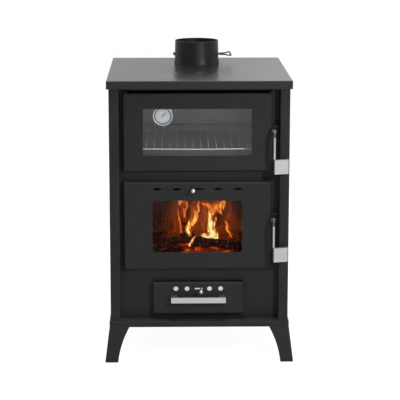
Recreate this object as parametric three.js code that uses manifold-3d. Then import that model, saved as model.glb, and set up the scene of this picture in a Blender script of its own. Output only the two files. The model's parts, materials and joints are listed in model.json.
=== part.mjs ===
// Wood cookstove: an oven over a firebox over an ash drawer, on four flared legs,
// with a steel cooktop, a lift-off hob lid and a flue collar with a damper.
// Millimetres, +Z up, the doors face -Y. The floor is z = 0.
import * as THREE from 'three';
import { mergeVertices } from 'three/addons/utils/BufferGeometryUtils.js';
import Module from 'manifold-3d';

const wasm = await Module();
wasm.setup();

// ------------------------------------------------------------ driving sizes

const seatGap = 0.3; // between a moving piece and what carries it

const cooktop = {
  width: 565,
  depth: 600,
  thickness: 6,
  skirt: 25, // full height of the turned-down edge
  skirtWall: 4,
  corner: 5, // corner radius seen from above
  edge: 3, // rounding of the top edge
  overSides: 7, // past the side panels
  overFront: 8, // past the posts
  overBack: 8,
};

const body = {
  sheet: 2, // side and back panels
  frontSheet: 3,
  bend: 4, // outside bend radius
  postWidth: 30,
  postDepth: 38, // post face to front panel
  backFlange: 15,
  topGap: 34.7, // oven door to the cooktop's underside
  doorGap: 35.7, // firebox door to oven door
  drawerGap: 43.9, // ash drawer to firebox door
  ledgeGap: 18.5, // base plate to ash drawer
};

const base = { height: 18.3, sheet: 3, skirtWall: 2.5, past: 4, corner: 6, edge: 2.5 };

const leg = {
  height: 110.4,
  flare: 14, // how far the foot stands out, in X and in Y
  topWidth: 62,
  footWidth: 40.5,
  sheet: 3,
  corner: 6,
  curve: 2.2, // power of the hollow inner edge
  levels: 8,
};

const door = {
  proud: 20, // front panel to door face
  hingeMargin: 12.5, // post to door, hinge side
  latchMargin: 23.5, // post to door, latch side
  face: 3,
  wall: 2.5,
  depth: 15,
  corner: 3, // corner radius seen from the front
  edge: 4, // rounding of the front edges
  flange: 18, // inner rim that carries the gasket
  flangeSheet: 2.5,
};

const ovenDoor = { height: 240.6, windowSide: 60.75, windowTop: 48.2, windowBottom: 47.1, windowCorner: 5 };
const fireDoor = { height: 273.7, windowSide: 89.25, windowTop: 57.2, windowBottom: 52.5, windowCorner: 9 };

const glass = { thickness: 4, lap: 12, frameSheet: 2, frameWidth: 18, frameReveal: 2 };
const gasket = { inset: 7, width: 8 };

const hinge = { fromEdge: 6, fromFace: 8.5, pin: 3, pinFit: 0.4, pinLength: 11, lug: 3, lugWidth: 14 };

const oven = { openingInset: 35.25, mouthLap: 3, sheet: 2, backChannel: 26 };
const rack = {
  aboveFloor: 28.7,
  setback: 31, // front panel to the ends of the front rod
  bow: 12, // the front rod's middle stands forwards
  backGap: 40,
  sideGap: 13.8, // oven wall to the side wires
  rodPast: 12, // the two rods reach past the side wires
  wires: 16,
  wire: 1.5,
  rod: 2.1,
};
const runner = { sheet: 2, width: 14, drop: 16, endGap: 12 };

const firebox = {
  openingSide: 52.25,
  openingBottom: 27,
  openingTop: 29,
  depth: 355,
  brick: 30,
  brickHeight: 246,
  reveal: 2, // brick faces behind the opening's edge
  shell: 3,
  floor: 6,
  floorDrop: 4.3, // opening's lower edge to the floor
  shellTop: 40, // above the bricks
};
const grate = { width: 190, depth: 250, thickness: 12, lap: 8, slots: 9, slotWidth: 9, rim: 18 };
const baffle = { thickness: 4, depth: 280 };

const drawer = {
  frontHeight: 100.2,
  frontSide: 101.7, // post to the drawer front
  openingLap: 2, // front panel opening inside the front's edges
  openingTopGap: 1.2, // the opening stands above the front
  corner: 2.5,
  edge: 3,
  face: 3,
  wall: 2.5,
  trayWall: 1.5,
  trayDrop: 9.7, // below the front's top
  trayDepth: 400,
  traySideGap: 4,
};
const drawerRunner = { foot: 20, riser: 22, sheet: 3, pastTray: 14 };
const drawerGrip = { width: 169.4, height: 17.6, thickness: 6, arm: 19.4, standOff: 23, fromBottom: 41.4 };
const drawerAir = {
  hole: 7.8,
  holeOffsets: [-69.6, -35, 35, 69.6],
  fromTop: 20.6,
  slotLength: 27,
  slotHeight: 6,
  slotShift: 1.4,
  slide: 1.5,
  slideHeight: 25,
  slideMargin: 14,
  slideHoleShift: 17.3,
};
const drawerKnob = { stem: 2.5, ball: 6.5, reach: 38, offset: 8 };

const doorAir = {
  ventLength: 27.9,
  ventHeight: 8.2,
  ventOffsets: [-124.5, -63.6, 63.6, 124.5],
  fromTop: 21,
  slotLength: 36.9,
  slotHeight: 5.7,
  slide: 1.5,
  slideHeight: 18,
  slideMargin: 18,
};
const doorKnob = { stem: 2.5, radius: 6.3, neck: 20, reach: 34.5, rim: 1.5, offset: -14 };

const handle = {
  pivotAhead: 26, // door face to the pivot
  ovenPivot: 125.3, // above the oven door's lower edge
  firePivot: 159.7, // above the firebox door's lower edge
  earSheet: 2,
  earRadius: 10,
  earHeight: 17,
  plate: 5.5,
  hub: 9,
  armFront: 26, // ahead of the pivot
  armDepth: 18,
  armTop: 9, // below the pivot
  length: 125.8,
  coolingHole: 4,
  coolingPitch: 15,
  coolingHoles: 4,
  tail: 41,
  tailTop: 2.5,
  tailBottom: 4,
  hookRise: 6,
  hook: 3.5,
  pin: 3.5,
  pinHead: 6.5,
  pinHeadThick: 2.6,
};
const block = {
  width: 43.8,
  height: 44.3,
  depth: 14,
  yaw: 13, // the face is turned towards the stove's right
  corner: 2.5,
  ahead: 4, // in front of the lever's edge
  lap: 2.3, // over the lever's edge
  seat: 10, // block's face to the lever behind it
};
const keeper = { bar: 6, barBack: 10, baseSheet: 3, baseHeight: 24, baseBelow: 9, width: 13, hookGap: 0.5 };

const thermometer = {
  fromDoorEdge: 121.6, // hinge-side edge of the door to the spindle
  fromDoorTop: 71.3,
  radius: 30.5,
  bezel: 4.2,
  depth: 15,
  recess: 6,
  dial: 20.8,
  dialThick: 1.5,
  pointerLength: 25,
  pointerWidth: 2.6,
  pointerThick: 1.2,
  pointerAngle: 50,
  pointerHub: 2.2,
};

const hob = { fromFront: 187, lid: 75, fit: 1, ledge: 6, flange: 4, plug: 6, boss: 10, bossDrop: 6 };
const lifter = { length: 24, width: 10, bar: 3 };

const flue = {
  fromBack: 145,
  height: 75.5,
  wall: 2.5,
  rim: 71,
  shoulder: 72.3,
  shoulderHeight: 17,
  foot: 74.5,
  footHeight: 6,
};
const damper = { axisHeight: 30, plateGap: 3.4, plate: 2.2, rod: 3, nutFlat: 10, nutThick: 4.2 };
const damperGrip = { start: 84, ferrule: 4, ferruleLength: 7, loopLength: 29, loopHeight: 15.5, wire: 3.5 };

// -------------------------------------------------------- shared positions

const bodyHalf = cooktop.width / 2 - cooktop.overSides;
const bodyFront = cooktop.overFront;
const bodyBack = cooktop.depth - cooktop.overBack;
const postInner = bodyHalf - body.postWidth;
const panelFront = bodyFront + body.postDepth;
const panelBack = panelFront + body.frontSheet;
const doorFront = panelFront - door.proud;
const doorLeft = -postInner + door.hingeMargin;
const doorRight = postInner - door.latchMargin;
const doorMiddle = (doorLeft + doorRight) / 2;

const baseTop = leg.height + base.height;
const drawerBottom = baseTop + body.ledgeGap;
const drawerTop = drawerBottom + drawer.frontHeight;
const fireDoorBottom = drawerTop + body.drawerGap;
const fireDoorTop = fireDoorBottom + fireDoor.height;
const ovenDoorBottom = fireDoorTop + body.doorGap;
const ovenDoorTop = ovenDoorBottom + ovenDoor.height;
const bodyTop = ovenDoorTop + body.topGap;
const cooktopTop = bodyTop + cooktop.thickness;

const hingeX = doorLeft + hinge.fromEdge;
const hingeY = doorFront + hinge.fromFace;
const flueY = cooktop.depth - flue.fromBack;
const handleY = doorFront - handle.pivotAhead;
const footReach = leg.flare + base.past - bodyFront;
const blockTurn = THREE.MathUtils.degToRad(block.yaw);

// ------------------------------------------------------------ solid tools

function toSolid(geometry) {
  const bare = new THREE.BufferGeometry();
  bare.setAttribute('position', geometry.attributes.position);
  if (geometry.index) bare.setIndex(geometry.index);
  const merged = mergeVertices(bare, 1e-4);
  const vertProperties = new Float32Array(merged.attributes.position.array);
  const triVerts = new Uint32Array(merged.index.array);
  const solid = new wasm.Manifold(new wasm.Mesh({ numProp: 3, vertProperties, triVerts }));
  return solid.volume() > 0 ? solid : new wasm.Manifold(new wasm.Mesh({
    numProp: 3, vertProperties, triVerts: triVerts.reverse(),
  }));
}

function toGeometry(solid) {
  const mesh = solid.getMesh();
  const geometry = new THREE.BufferGeometry();
  geometry.setAttribute('position', new THREE.Float32BufferAttribute(mesh.vertProperties, 3));
  geometry.setIndex(new THREE.Uint32BufferAttribute(mesh.triVerts, 1));
  const flat = geometry.toNonIndexed();
  flat.computeVertexNormals();
  return flat;
}

const join = (...solids) => solids.reduce((sum, next) => sum.add(next));
const cut = (solid, ...tools) => tools.reduce((left, tool) => left.subtract(tool), solid);

function slab([x0, x1], [y0, y1], [z0, z1]) {
  const geometry = new THREE.BoxGeometry(x1 - x0, y1 - y0, z1 - z0);
  geometry.translate((x0 + x1) / 2, (y0 + y1) / 2, (z0 + z1) / 2);
  return toSolid(geometry);
}

// A shape drawn in X and Y, raised from z0 to z1.
function prismZ(shape, [z0, z1], segments = 6) {
  const geometry = new THREE.ExtrudeGeometry(shape, {
    depth: z1 - z0, bevelEnabled: false, curveSegments: segments,
  });
  geometry.translate(0, 0, z0);
  return toSolid(geometry);
}

// A shape drawn in X and Z, from y0 back to y1.
function prismY(shape, [y0, y1], segments = 6) {
  const geometry = new THREE.ExtrudeGeometry(shape, {
    depth: y1 - y0, bevelEnabled: false, curveSegments: segments,
  });
  geometry.rotateX(Math.PI / 2);
  geometry.translate(0, y1, 0);
  return toSolid(geometry);
}

// A shape drawn in Y and Z, from x0 across to x1.
function prismX(shape, [x0, x1], segments = 6) {
  const geometry = new THREE.ExtrudeGeometry(shape, {
    depth: x1 - x0, bevelEnabled: false, curveSegments: segments,
  });
  const turn = new THREE.Matrix4().makeBasis(
    new THREE.Vector3(0, 1, 0), new THREE.Vector3(0, 0, 1), new THREE.Vector3(1, 0, 0),
  );
  geometry.applyMatrix4(turn);
  geometry.translate(x0, 0, 0);
  return toSolid(geometry);
}

function roundedRect([x0, x1], [y0, y1], radius) {
  const shape = new THREE.Shape();
  shape.moveTo(x0 + radius, y0);
  shape.lineTo(x1 - radius, y0);
  shape.absarc(x1 - radius, y0 + radius, radius, -Math.PI / 2, 0);
  shape.lineTo(x1, y1 - radius);
  shape.absarc(x1 - radius, y1 - radius, radius, 0, Math.PI / 2);
  shape.lineTo(x0 + radius, y1);
  shape.absarc(x0 + radius, y1 - radius, radius, Math.PI / 2, Math.PI);
  shape.lineTo(x0, y0 + radius);
  shape.absarc(x0 + radius, y0 + radius, radius, Math.PI, Math.PI * 1.5);
  return shape;
}

function disc(x, y, radius) {
  const shape = new THREE.Shape();
  shape.absarc(x, y, radius, 0, Math.PI * 2);
  return shape;
}

function polygon(points) {
  return new THREE.Shape(points.map(([x, y]) => new THREE.Vector2(x, y)));
}

const barX = (y, z, radius, range, segments = 8) => prismX(disc(y, z, radius), range, segments);
const barY = (x, z, radius, range, segments = 8) => prismY(disc(x, z, radius), range, segments);
const barZ = (x, y, radius, range, segments = 8) => prismZ(disc(x, y, radius), range, segments);

// A turned piece: the profile is [radius, height] pairs, closed on itself or on the axis.
function turned(profile, segments = 48) {
  const points = profile.map(([radius, height]) => new THREE.Vector2(radius, height));
  return new THREE.LatheGeometry(points, segments);
}

// The section of a folded sheet: `outside` is its outer line, which turns left at its bends.
function foldedSheet(outside, thickness, bend) {
  const steps = 4;
  const outer = [];
  const inner = [];
  outside.forEach(([x, y], index) => {
    const here = new THREE.Vector2(x, y);
    const before = index > 0 ? here.clone().sub(new THREE.Vector2(...outside[index - 1])).normalize() : null;
    const after = index < outside.length - 1
      ? new THREE.Vector2(...outside[index + 1]).sub(here).normalize() : null;
    const way = before || after;
    const side = new THREE.Vector2(-way.y, way.x);
    if (!before || !after) {
      outer.push(here);
      inner.push(here.clone().addScaledVector(side, thickness));
      return;
    }
    const centre = here.clone().addScaledVector(before, -bend).addScaledVector(side, bend);
    const start = Math.atan2(-side.y, -side.x);
    for (let step = 0; step <= steps; step += 1) {
      const angle = start + (Math.PI / 2) * (step / steps);
      const spoke = new THREE.Vector2(Math.cos(angle), Math.sin(angle));
      outer.push(centre.clone().addScaledVector(spoke, bend));
      inner.push(centre.clone().addScaledVector(spoke, bend - thickness));
    }
  });
  return new THREE.Shape([...outer, ...inner.reverse()]);
}

// A solid through level rings of equally many [x, y] points, each { z, points }, anticlockwise.
function loft(rings) {
  const count = rings[0].points.length;
  const positions = [];
  const index = [];
  rings.forEach(({ z, points }) => points.forEach(([x, y]) => positions.push(x, y, z)));
  for (let level = 0; level < rings.length - 1; level += 1) {
    for (let at = 0; at < count; at += 1) {
      const a = level * count + at;
      const b = level * count + ((at + 1) % count);
      index.push(a, b, b + count, a, b + count, a + count);
    }
  }
  const cap = (level, flip) => {
    const outline = rings[level].points.map(([x, y]) => new THREE.Vector2(x, y));
    THREE.ShapeUtils.triangulateShape(outline, []).forEach(([a, b, c]) => {
      const corners = flip ? [c, b, a] : [a, b, c];
      corners.forEach((corner) => index.push(level * count + corner));
    });
  };
  cap(0, true);
  cap(rings.length - 1, false);
  const geometry = new THREE.BufferGeometry();
  geometry.setAttribute('position', new THREE.Float32BufferAttribute(positions, 3));
  geometry.setIndex(index);
  return toSolid(geometry);
}

// A box with round upright corners and a softened top edge.
function softBox([x0, x1], [y0, y1], [z0, z1], corner, edge) {
  const ring = (inset, z) => {
    const outline = roundedRect([x0 + inset, x1 - inset], [y0 + inset, y1 - inset], corner);
    return { z, points: outline.getPoints(4).map((point) => [point.x, point.y]) };
  };
  const open = ({ z, points }) => {
    const [first, last] = [points[0], points[points.length - 1]];
    const closed = Math.hypot(first[0] - last[0], first[1] - last[1]) < 1e-6;
    return { z, points: closed ? points.slice(0, -1) : points };
  };
  const softened = [0, 30, 60, 90].map((degrees) => {
    const angle = THREE.MathUtils.degToRad(degrees);
    return ring(edge * (1 - Math.cos(angle)), z1 - edge * (1 - Math.sin(angle)));
  });
  return loft([ring(0, z0), ...softened].map(open));
}

// The same box facing forwards: round corners in X and Z, softened edges at its front.
function softPan(x, [y0, y1], z, corner, edge) {
  return softBox(x, z, [-y1, -y0], corner, edge).rotate([90, 0, 0]);
}

// ------------------------------------------------------------- materials

const finish = (color, roughness, metalness) => () => (
  new THREE.MeshStandardMaterial({ color, roughness, metalness })
);
const blackPaint = finish(0x2b2b2c, 0.55, 0.2);
const innerPaint = finish(0x1c1c1d, 0.7, 0.2);
const cooktopSteel = finish(0x8d8d8e, 0.35, 0.7);
const castIron = finish(0x38383a, 0.75, 0.5);
const ovenSteel = finish(0x6e6f70, 0.5, 0.6);
const darkSteel = finish(0x66666a, 0.4, 0.9);
const brightSteel = finish(0xc8c8ca, 0.3, 0.9);
const nickel = finish(0xc4c4c6, 0.25, 0.9);
const brick = finish(0xb89b74, 0.95, 0);
const rope = finish(0x2a2a2a, 0.95, 0);
const clearGlass = () => new THREE.MeshStandardMaterial({
  color: 0x30343a, roughness: 0.08, metalness: 0, transparent: true, opacity: 0.45,
});
const dialWhite = finish(0xdfe6ea, 0.5, 0);
const pointerBlack = finish(0x1a1a1a, 0.5, 0.2);

const stove = new THREE.Group();

function addTo(group, name, solid, material) {
  const mesh = new THREE.Mesh(toGeometry(solid), material());
  mesh.name = name;
  group.add(mesh);
}
const add = (name, solid, material) => addTo(stove, name, solid, material);

// ---------------------------------------------------------------- cooktop

function buildCooktop() {
  const skirtBottom = cooktopTop - cooktop.skirt;
  const half = cooktop.width / 2;
  const wall = cooktop.skirtWall;
  const outside = softBox(
    [-half, half], [0, cooktop.depth], [skirtBottom, cooktopTop], cooktop.corner, cooktop.edge,
  );
  const inside = slab([wall - half, half - wall], [wall, cooktop.depth - wall], [skirtBottom - 1, bodyTop]);
  const bossHole = hob.lid - hob.ledge;
  const boss = barZ(0, hob.fromFront, hob.lid + hob.boss, [bodyTop - hob.bossDrop, bodyTop + 1], 24);
  const seatTop = cooktopTop - hob.flange;
  const lidSeat = barZ(0, hob.fromFront, hob.lid + hob.fit, [seatTop, cooktopTop + 1], 24);
  const holeZ = [bodyTop - hob.bossDrop - 1, cooktopTop + 1];
  const lidHole = barZ(0, hob.fromFront, bossHole + hob.fit, holeZ, 24);
  const flueHole = barZ(0, flueY, flue.shoulder - flue.wall, [skirtBottom, cooktopTop + 1], 24);
  add('cooktop_plate', cut(join(cut(outside, inside), boss), lidSeat, lidHole, flueHole), cooktopSteel);

  const flange = barZ(0, hob.fromFront, hob.lid, [seatTop + 0.01, cooktopTop], 24);
  const plug = barZ(0, hob.fromFront, bossHole, [seatTop - hob.plug, seatTop + 1], 24);
  const pocket = roundedRect(
    [-lifter.length / 2, lifter.length / 2],
    [hob.fromFront - lifter.width / 2, hob.fromFront + lifter.width / 2],
    lifter.width / 2 - 0.5,
  );
  const pocketCut = prismZ(pocket, [seatTop, cooktopTop + 1], 4);
  const bar = slab(
    [-lifter.length / 2 - 1, lifter.length / 2 + 1],
    [hob.fromFront - lifter.bar / 2, hob.fromFront + lifter.bar / 2],
    [cooktopTop - lifter.bar, cooktopTop],
  );
  add('hob_lid', join(cut(join(flange, plug), pocketCut), bar), castIron);
}

function buildFlue() {
  const axisZ = cooktopTop + damper.axisHeight;
  const top = cooktopTop + flue.height;
  const shoulderZ = cooktopTop + flue.shoulderHeight;
  const profile = [
    [flue.foot, cooktopTop], [flue.foot, cooktopTop + flue.footHeight],
    [flue.shoulder, shoulderZ], [flue.rim, top],
    [flue.rim - flue.wall, top], [flue.shoulder - flue.wall, shoulderZ],
    [flue.shoulder - flue.wall, cooktopTop], [flue.foot, cooktopTop],
  ];
  const collarGeometry = turned(profile);
  collarGeometry.rotateX(Math.PI / 2);
  collarGeometry.translate(0, flueY, 0);
  const rodHole = barX(flueY, axisZ, damper.rod + seatGap, [-flue.foot - 5, flue.foot + 5]);
  add('flue_collar', cut(toSolid(collarGeometry), rodHole), blackPaint);

  const plateTop = axisZ - damper.rod - seatGap;
  const plateRadius = flue.shoulder - flue.wall - damper.plateGap;
  const plate = barZ(0, flueY, plateRadius, [plateTop - damper.plate, plateTop], 24);
  add('damper_plate', plate, castIron);

  const nutStart = flue.shoulder + seatGap;
  const rodX = [-nutStart - damper.nutThick - 1, damperGrip.start];
  add('damper_rod', barX(flueY, axisZ, damper.rod, rodX), darkSteel);
  const nut = new THREE.Shape();
  for (let corner = 0; corner < 6; corner += 1) {
    const angle = (corner + 0.5) * (Math.PI / 3);
    const reach = damper.nutFlat / 2 / Math.cos(Math.PI / 6);
    const spot = [flueY + reach * Math.cos(angle), axisZ + reach * Math.sin(angle)];
    if (corner === 0) nut.moveTo(...spot);
    else nut.lineTo(...spot);
  }
  const bore = barX(flueY, axisZ, damper.rod + 0.1, [-nutStart - damper.nutThick - 1, 0]);
  add('damper_nut', cut(prismX(nut, [-nutStart - damper.nutThick, -nutStart]), bore), darkSteel);

  const loopStart = damperGrip.start + damperGrip.ferruleLength - 2;
  const loopEnd = loopStart + damperGrip.loopLength;
  const halfLoop = damperGrip.loopHeight / 2;
  const outerLoop = polygon([
    [loopStart, axisZ - 2.5], [loopEnd - 3, axisZ - halfLoop], [loopEnd, axisZ - halfLoop + 3],
    [loopEnd, axisZ + halfLoop - 3], [loopEnd - 3, axisZ + halfLoop], [loopStart, axisZ + 2.5],
  ]);
  const wire = damperGrip.wire;
  outerLoop.holes.push(new THREE.Path([
    new THREE.Vector2(loopStart + 8, axisZ - 1), new THREE.Vector2(loopStart + 8, axisZ + 1),
    new THREE.Vector2(loopEnd - wire, axisZ + halfLoop - wire),
    new THREE.Vector2(loopEnd - wire, axisZ - halfLoop + wire),
  ]));
  const loop = prismY(outerLoop, [flueY - wire / 2, flueY + wire / 2]);
  const ferrule = barX(
    flueY, axisZ, damperGrip.ferrule, [damperGrip.start, damperGrip.start + damperGrip.ferruleLength],
  );
  add('damper_handle', join(ferrule, loop), darkSteel);
}

// ------------------------------------------------------------------- body

function buildPanels() {
  const outline = foldedSheet([
    [-bodyHalf + body.backFlange, bodyBack], [-bodyHalf, bodyBack], [-bodyHalf, bodyFront],
    [-postInner, bodyFront], [-postInner, panelFront],
  ], body.sheet, body.bend);
  const left = prismZ(outline, [baseTop, bodyTop]);
  add('left_side_panel', left, blackPaint);
  add('right_side_panel', left.mirror([1, 0, 0]), blackPaint);

  const inner = bodyHalf - body.sheet - 0.2;
  const panelY = bodyBack - body.sheet;
  const backHalf = bodyHalf - body.bend;
  const backPanel = slab([-backHalf, backHalf], [panelY - body.sheet, panelY], [baseTop, bodyTop]);
  add('back_panel', backPanel, blackPaint);

  const inset = oven.openingInset;
  const panel = slab([-inner, inner], [panelFront, panelBack], [baseTop, bodyTop]);
  const through = [panelFront - 1, panelBack + 1];
  const ovenHole = slab(
    [doorLeft + inset, doorRight - inset], through, [ovenDoorBottom + inset, ovenDoorTop - inset],
  );
  const fireHole = slab(
    [doorLeft + firebox.openingSide, doorRight - firebox.openingSide], through,
    [fireDoorBottom + firebox.openingBottom, fireDoorTop - firebox.openingTop],
  );
  const lap = drawer.openingLap;
  const drawerHole = slab(
    [-postInner + drawer.frontSide + lap, drawerRight() - lap], through,
    [drawerBottom + 1, drawerTop + drawer.openingTopGap],
  );
  const airSlot = slab([doorLeft + 15, doorRight - 6], through, [ovenDoorTop - 2.5, ovenDoorTop + 5.5]);
  add('front_panel', cut(panel, ovenHole, fireHole, drawerHole, airSlot), blackPaint);
}

function buildBase() {
  const half = bodyHalf + base.past;
  const front = bodyFront - base.past;
  const back = bodyBack + base.past;
  const wall = base.skirtWall;
  const outside = softBox([-half, half], [front, back], [leg.height, baseTop], base.corner, base.edge);
  const inside = slab(
    [wall - half, half - wall], [front + wall, back - wall], [leg.height - 1, baseTop - base.sheet],
  );
  add('base_plate', cut(outside, inside), blackPaint);
}

function legRing(z, sideX, sideY) {
  const share = z / leg.height;
  const out = leg.flare * (1 - share);
  const width = leg.footWidth + (leg.topWidth - leg.footWidth) * share ** leg.curve;
  const section = foldedSheet([[0, width], [0, 0], [width, 0]], leg.sheet, leg.corner);
  const cornerX = bodyHalf + base.past + out;
  const cornerY = sideY < 0 ? bodyFront - base.past - out : bodyBack + base.past + out;
  const points = section.getPoints(1).map((point) => [
    sideX * (cornerX - point.x), cornerY - sideY * point.y,
  ]);
  const turnsOver = sideX * sideY < 0;
  return { z, points: turnsOver ? points.reverse() : points };
}

function buildLeg(name, sideX, sideY) {
  const rings = [];
  for (let level = 0; level <= leg.levels; level += 1) {
    rings.push(legRing((leg.height * level) / leg.levels, sideX, sideY));
  }
  const cornerX = bodyHalf + base.past + leg.flare;
  const cornerY = sideY < 0 ? -footReach : bodyBack + base.past + leg.flare;
  const reach = leg.footWidth - 1;
  const pad = [[1, 1], [reach, 1], [reach, 8], [8, reach], [1, reach]].map(([x, y]) => [
    sideX * (cornerX - x), cornerY - sideY * y,
  ]);
  add(name, join(loft(rings), prismZ(polygon(pad), [0, leg.sheet])), blackPaint);
}

// ------------------------------------------------------------------- oven

function ovenRoom() {
  const spread = oven.openingInset - oven.mouthLap;
  return {
    x: [doorLeft + spread, doorRight - spread],
    y: [panelBack, bodyBack - 2 * body.sheet - oven.backChannel - oven.sheet],
    z: [ovenDoorBottom + spread, ovenDoorTop - spread],
  };
}

const grow = ([low, high], by) => [low - by, high + by];

function buildOven() {
  const room = ovenRoom();
  const shell = slab(grow(room.x, oven.sheet), [room.y[0], room.y[1] + oven.sheet], grow(room.z, oven.sheet));
  add('oven_box', cut(shell, slab(room.x, [room.y[0] - 1, room.y[1]], room.z)), ovenSteel);

  const rodZ = room.z[0] + rack.aboveFloor;
  const runnerTop = rodZ - rack.rod - seatGap;
  const runnerY = [room.y[0] + runner.endGap, room.y[1] - runner.endGap];
  [['rack_runner_left', room.x[0], 1], ['rack_runner_right', room.x[1], -1]].forEach(([name, wall, side]) => {
    const across = (from, to) => [wall + side * from, wall + side * to].sort((a, b) => a - b);
    const shelf = slab(across(0, runner.width), runnerY, [runnerTop - runner.sheet, runnerTop]);
    const upright = slab(across(0, runner.sheet), runnerY, [runnerTop - runner.drop, runnerTop]);
    add(name, join(shelf, upright), ovenSteel);
  });

  const rackX = grow(room.x, -rack.sideGap);
  const rackY = [panelFront + rack.setback, room.y[1] - rack.backGap];
  const rodX = grow(rackX, rack.rodPast);
  const middle = (rodX[0] + rodX[1]) / 2;
  const bowPath = new THREE.QuadraticBezierCurve3(
    new THREE.Vector3(rodX[0], rackY[0], rodZ),
    new THREE.Vector3(middle, rackY[0] - 2 * rack.bow, rodZ),
    new THREE.Vector3(rodX[1], rackY[0], rodZ),
  );
  const bowed = toSolid(new THREE.ExtrudeGeometry(disc(0, 0, rack.rod), {
    steps: 16, curveSegments: 3, bevelEnabled: false, extrudePath: bowPath,
  }));
  const rods = [bowed, barX(rackY[1], rodZ, rack.rod, rodX, 3)];
  const wireZ = rodZ + rack.rod + rack.wire - 1.5;
  const pitch = (rackX[1] - rackX[0]) / (rack.wires - 1);
  for (let wire = 0; wire < rack.wires; wire += 1) {
    const x = rackX[0] + pitch * wire;
    const front = rackY[0] - rack.bow * (1 - ((x - middle) / (rodX[1] - middle)) ** 2);
    rods.push(barY(x, wireZ, rack.wire, [front - 2, rackY[1] + 3], 3));
  }
  add('oven_rack', join(...rods), brightSteel);
}

// ---------------------------------------------------------------- firebox

function buildFirebox() {
  const x = [
    doorLeft + firebox.openingSide - firebox.reveal, doorRight - firebox.openingSide + firebox.reveal,
  ];
  const floorTop = fireDoorBottom + firebox.openingBottom - firebox.floorDrop;
  const brickTop = floorTop + firebox.brickHeight;
  const backFace = panelBack + firebox.depth;
  const shellX = grow(x, firebox.brick + seatGap);
  const shellBack = backFace + firebox.brick + seatGap;
  const shellTop = brickTop + firebox.shellTop;

  const outside = slab(
    grow(shellX, firebox.shell), [panelBack, shellBack + firebox.shell], [floorTop - firebox.floor, shellTop],
  );
  const inside = slab(shellX, [panelBack - 1, shellBack], [floorTop, shellTop + 1]);
  const middleY = panelBack + firebox.depth / 2;
  const holeX = grate.width / 2 - grate.lap;
  const holeY = grate.depth / 2 - grate.lap;
  const grateHole = slab(
    [doorMiddle - holeX, doorMiddle + holeX], [middleY - holeY, middleY + holeY],
    [floorTop - firebox.floor - 1, floorTop + 1],
  );
  add('firebox_shell', cut(outside, inside, grateHole), innerPaint);

  const sideY = [panelBack + seatGap, shellBack - seatGap];
  const height = [floorTop, brickTop];
  add('firebrick_left', slab([x[0] - firebox.brick, x[0]], sideY, height), brick);
  add('firebrick_right', slab([x[1], x[1] + firebox.brick], sideY, height), brick);
  add('firebrick_back', slab(grow(x, -seatGap), [backFace, shellBack - seatGap], height), brick);

  const plate = slab(
    [doorMiddle - grate.width / 2, doorMiddle + grate.width / 2],
    [middleY - grate.depth / 2, middleY + grate.depth / 2], [floorTop, floorTop + grate.thickness],
  );
  const pitch = (grate.width - 2 * grate.rim) / grate.slots;
  const slots = [];
  for (let slot = 0; slot < grate.slots; slot += 1) {
    const at = doorMiddle - grate.width / 2 + grate.rim + pitch * (slot + 0.5);
    slots.push(slab(
      [at - grate.slotWidth / 2, at + grate.slotWidth / 2],
      [middleY - grate.depth / 2 + grate.rim, middleY + grate.depth / 2 - grate.rim],
      [floorTop - 1, floorTop + grate.thickness + 1],
    ));
  }
  add('fire_grate', cut(plate, ...slots), castIron);
  add('smoke_baffle', slab(
    grow(x, firebox.brick - 1), [panelBack + seatGap, panelBack + baffle.depth],
    [brickTop, brickTop + baffle.thickness],
  ), innerPaint);
}

// ------------------------------------------------------------- ash drawer

function drawerLeft() {
  return -postInner + drawer.frontSide;
}

function drawerRight() {
  return postInner - drawer.frontSide - (door.latchMargin - door.hingeMargin) / 2;
}

function slotShape(middle, z, length, height) {
  const across = [middle - length / 2, middle + length / 2];
  return roundedRect(across, [z - height / 2, z + height / 2], height / 2 - 0.1);
}

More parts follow.
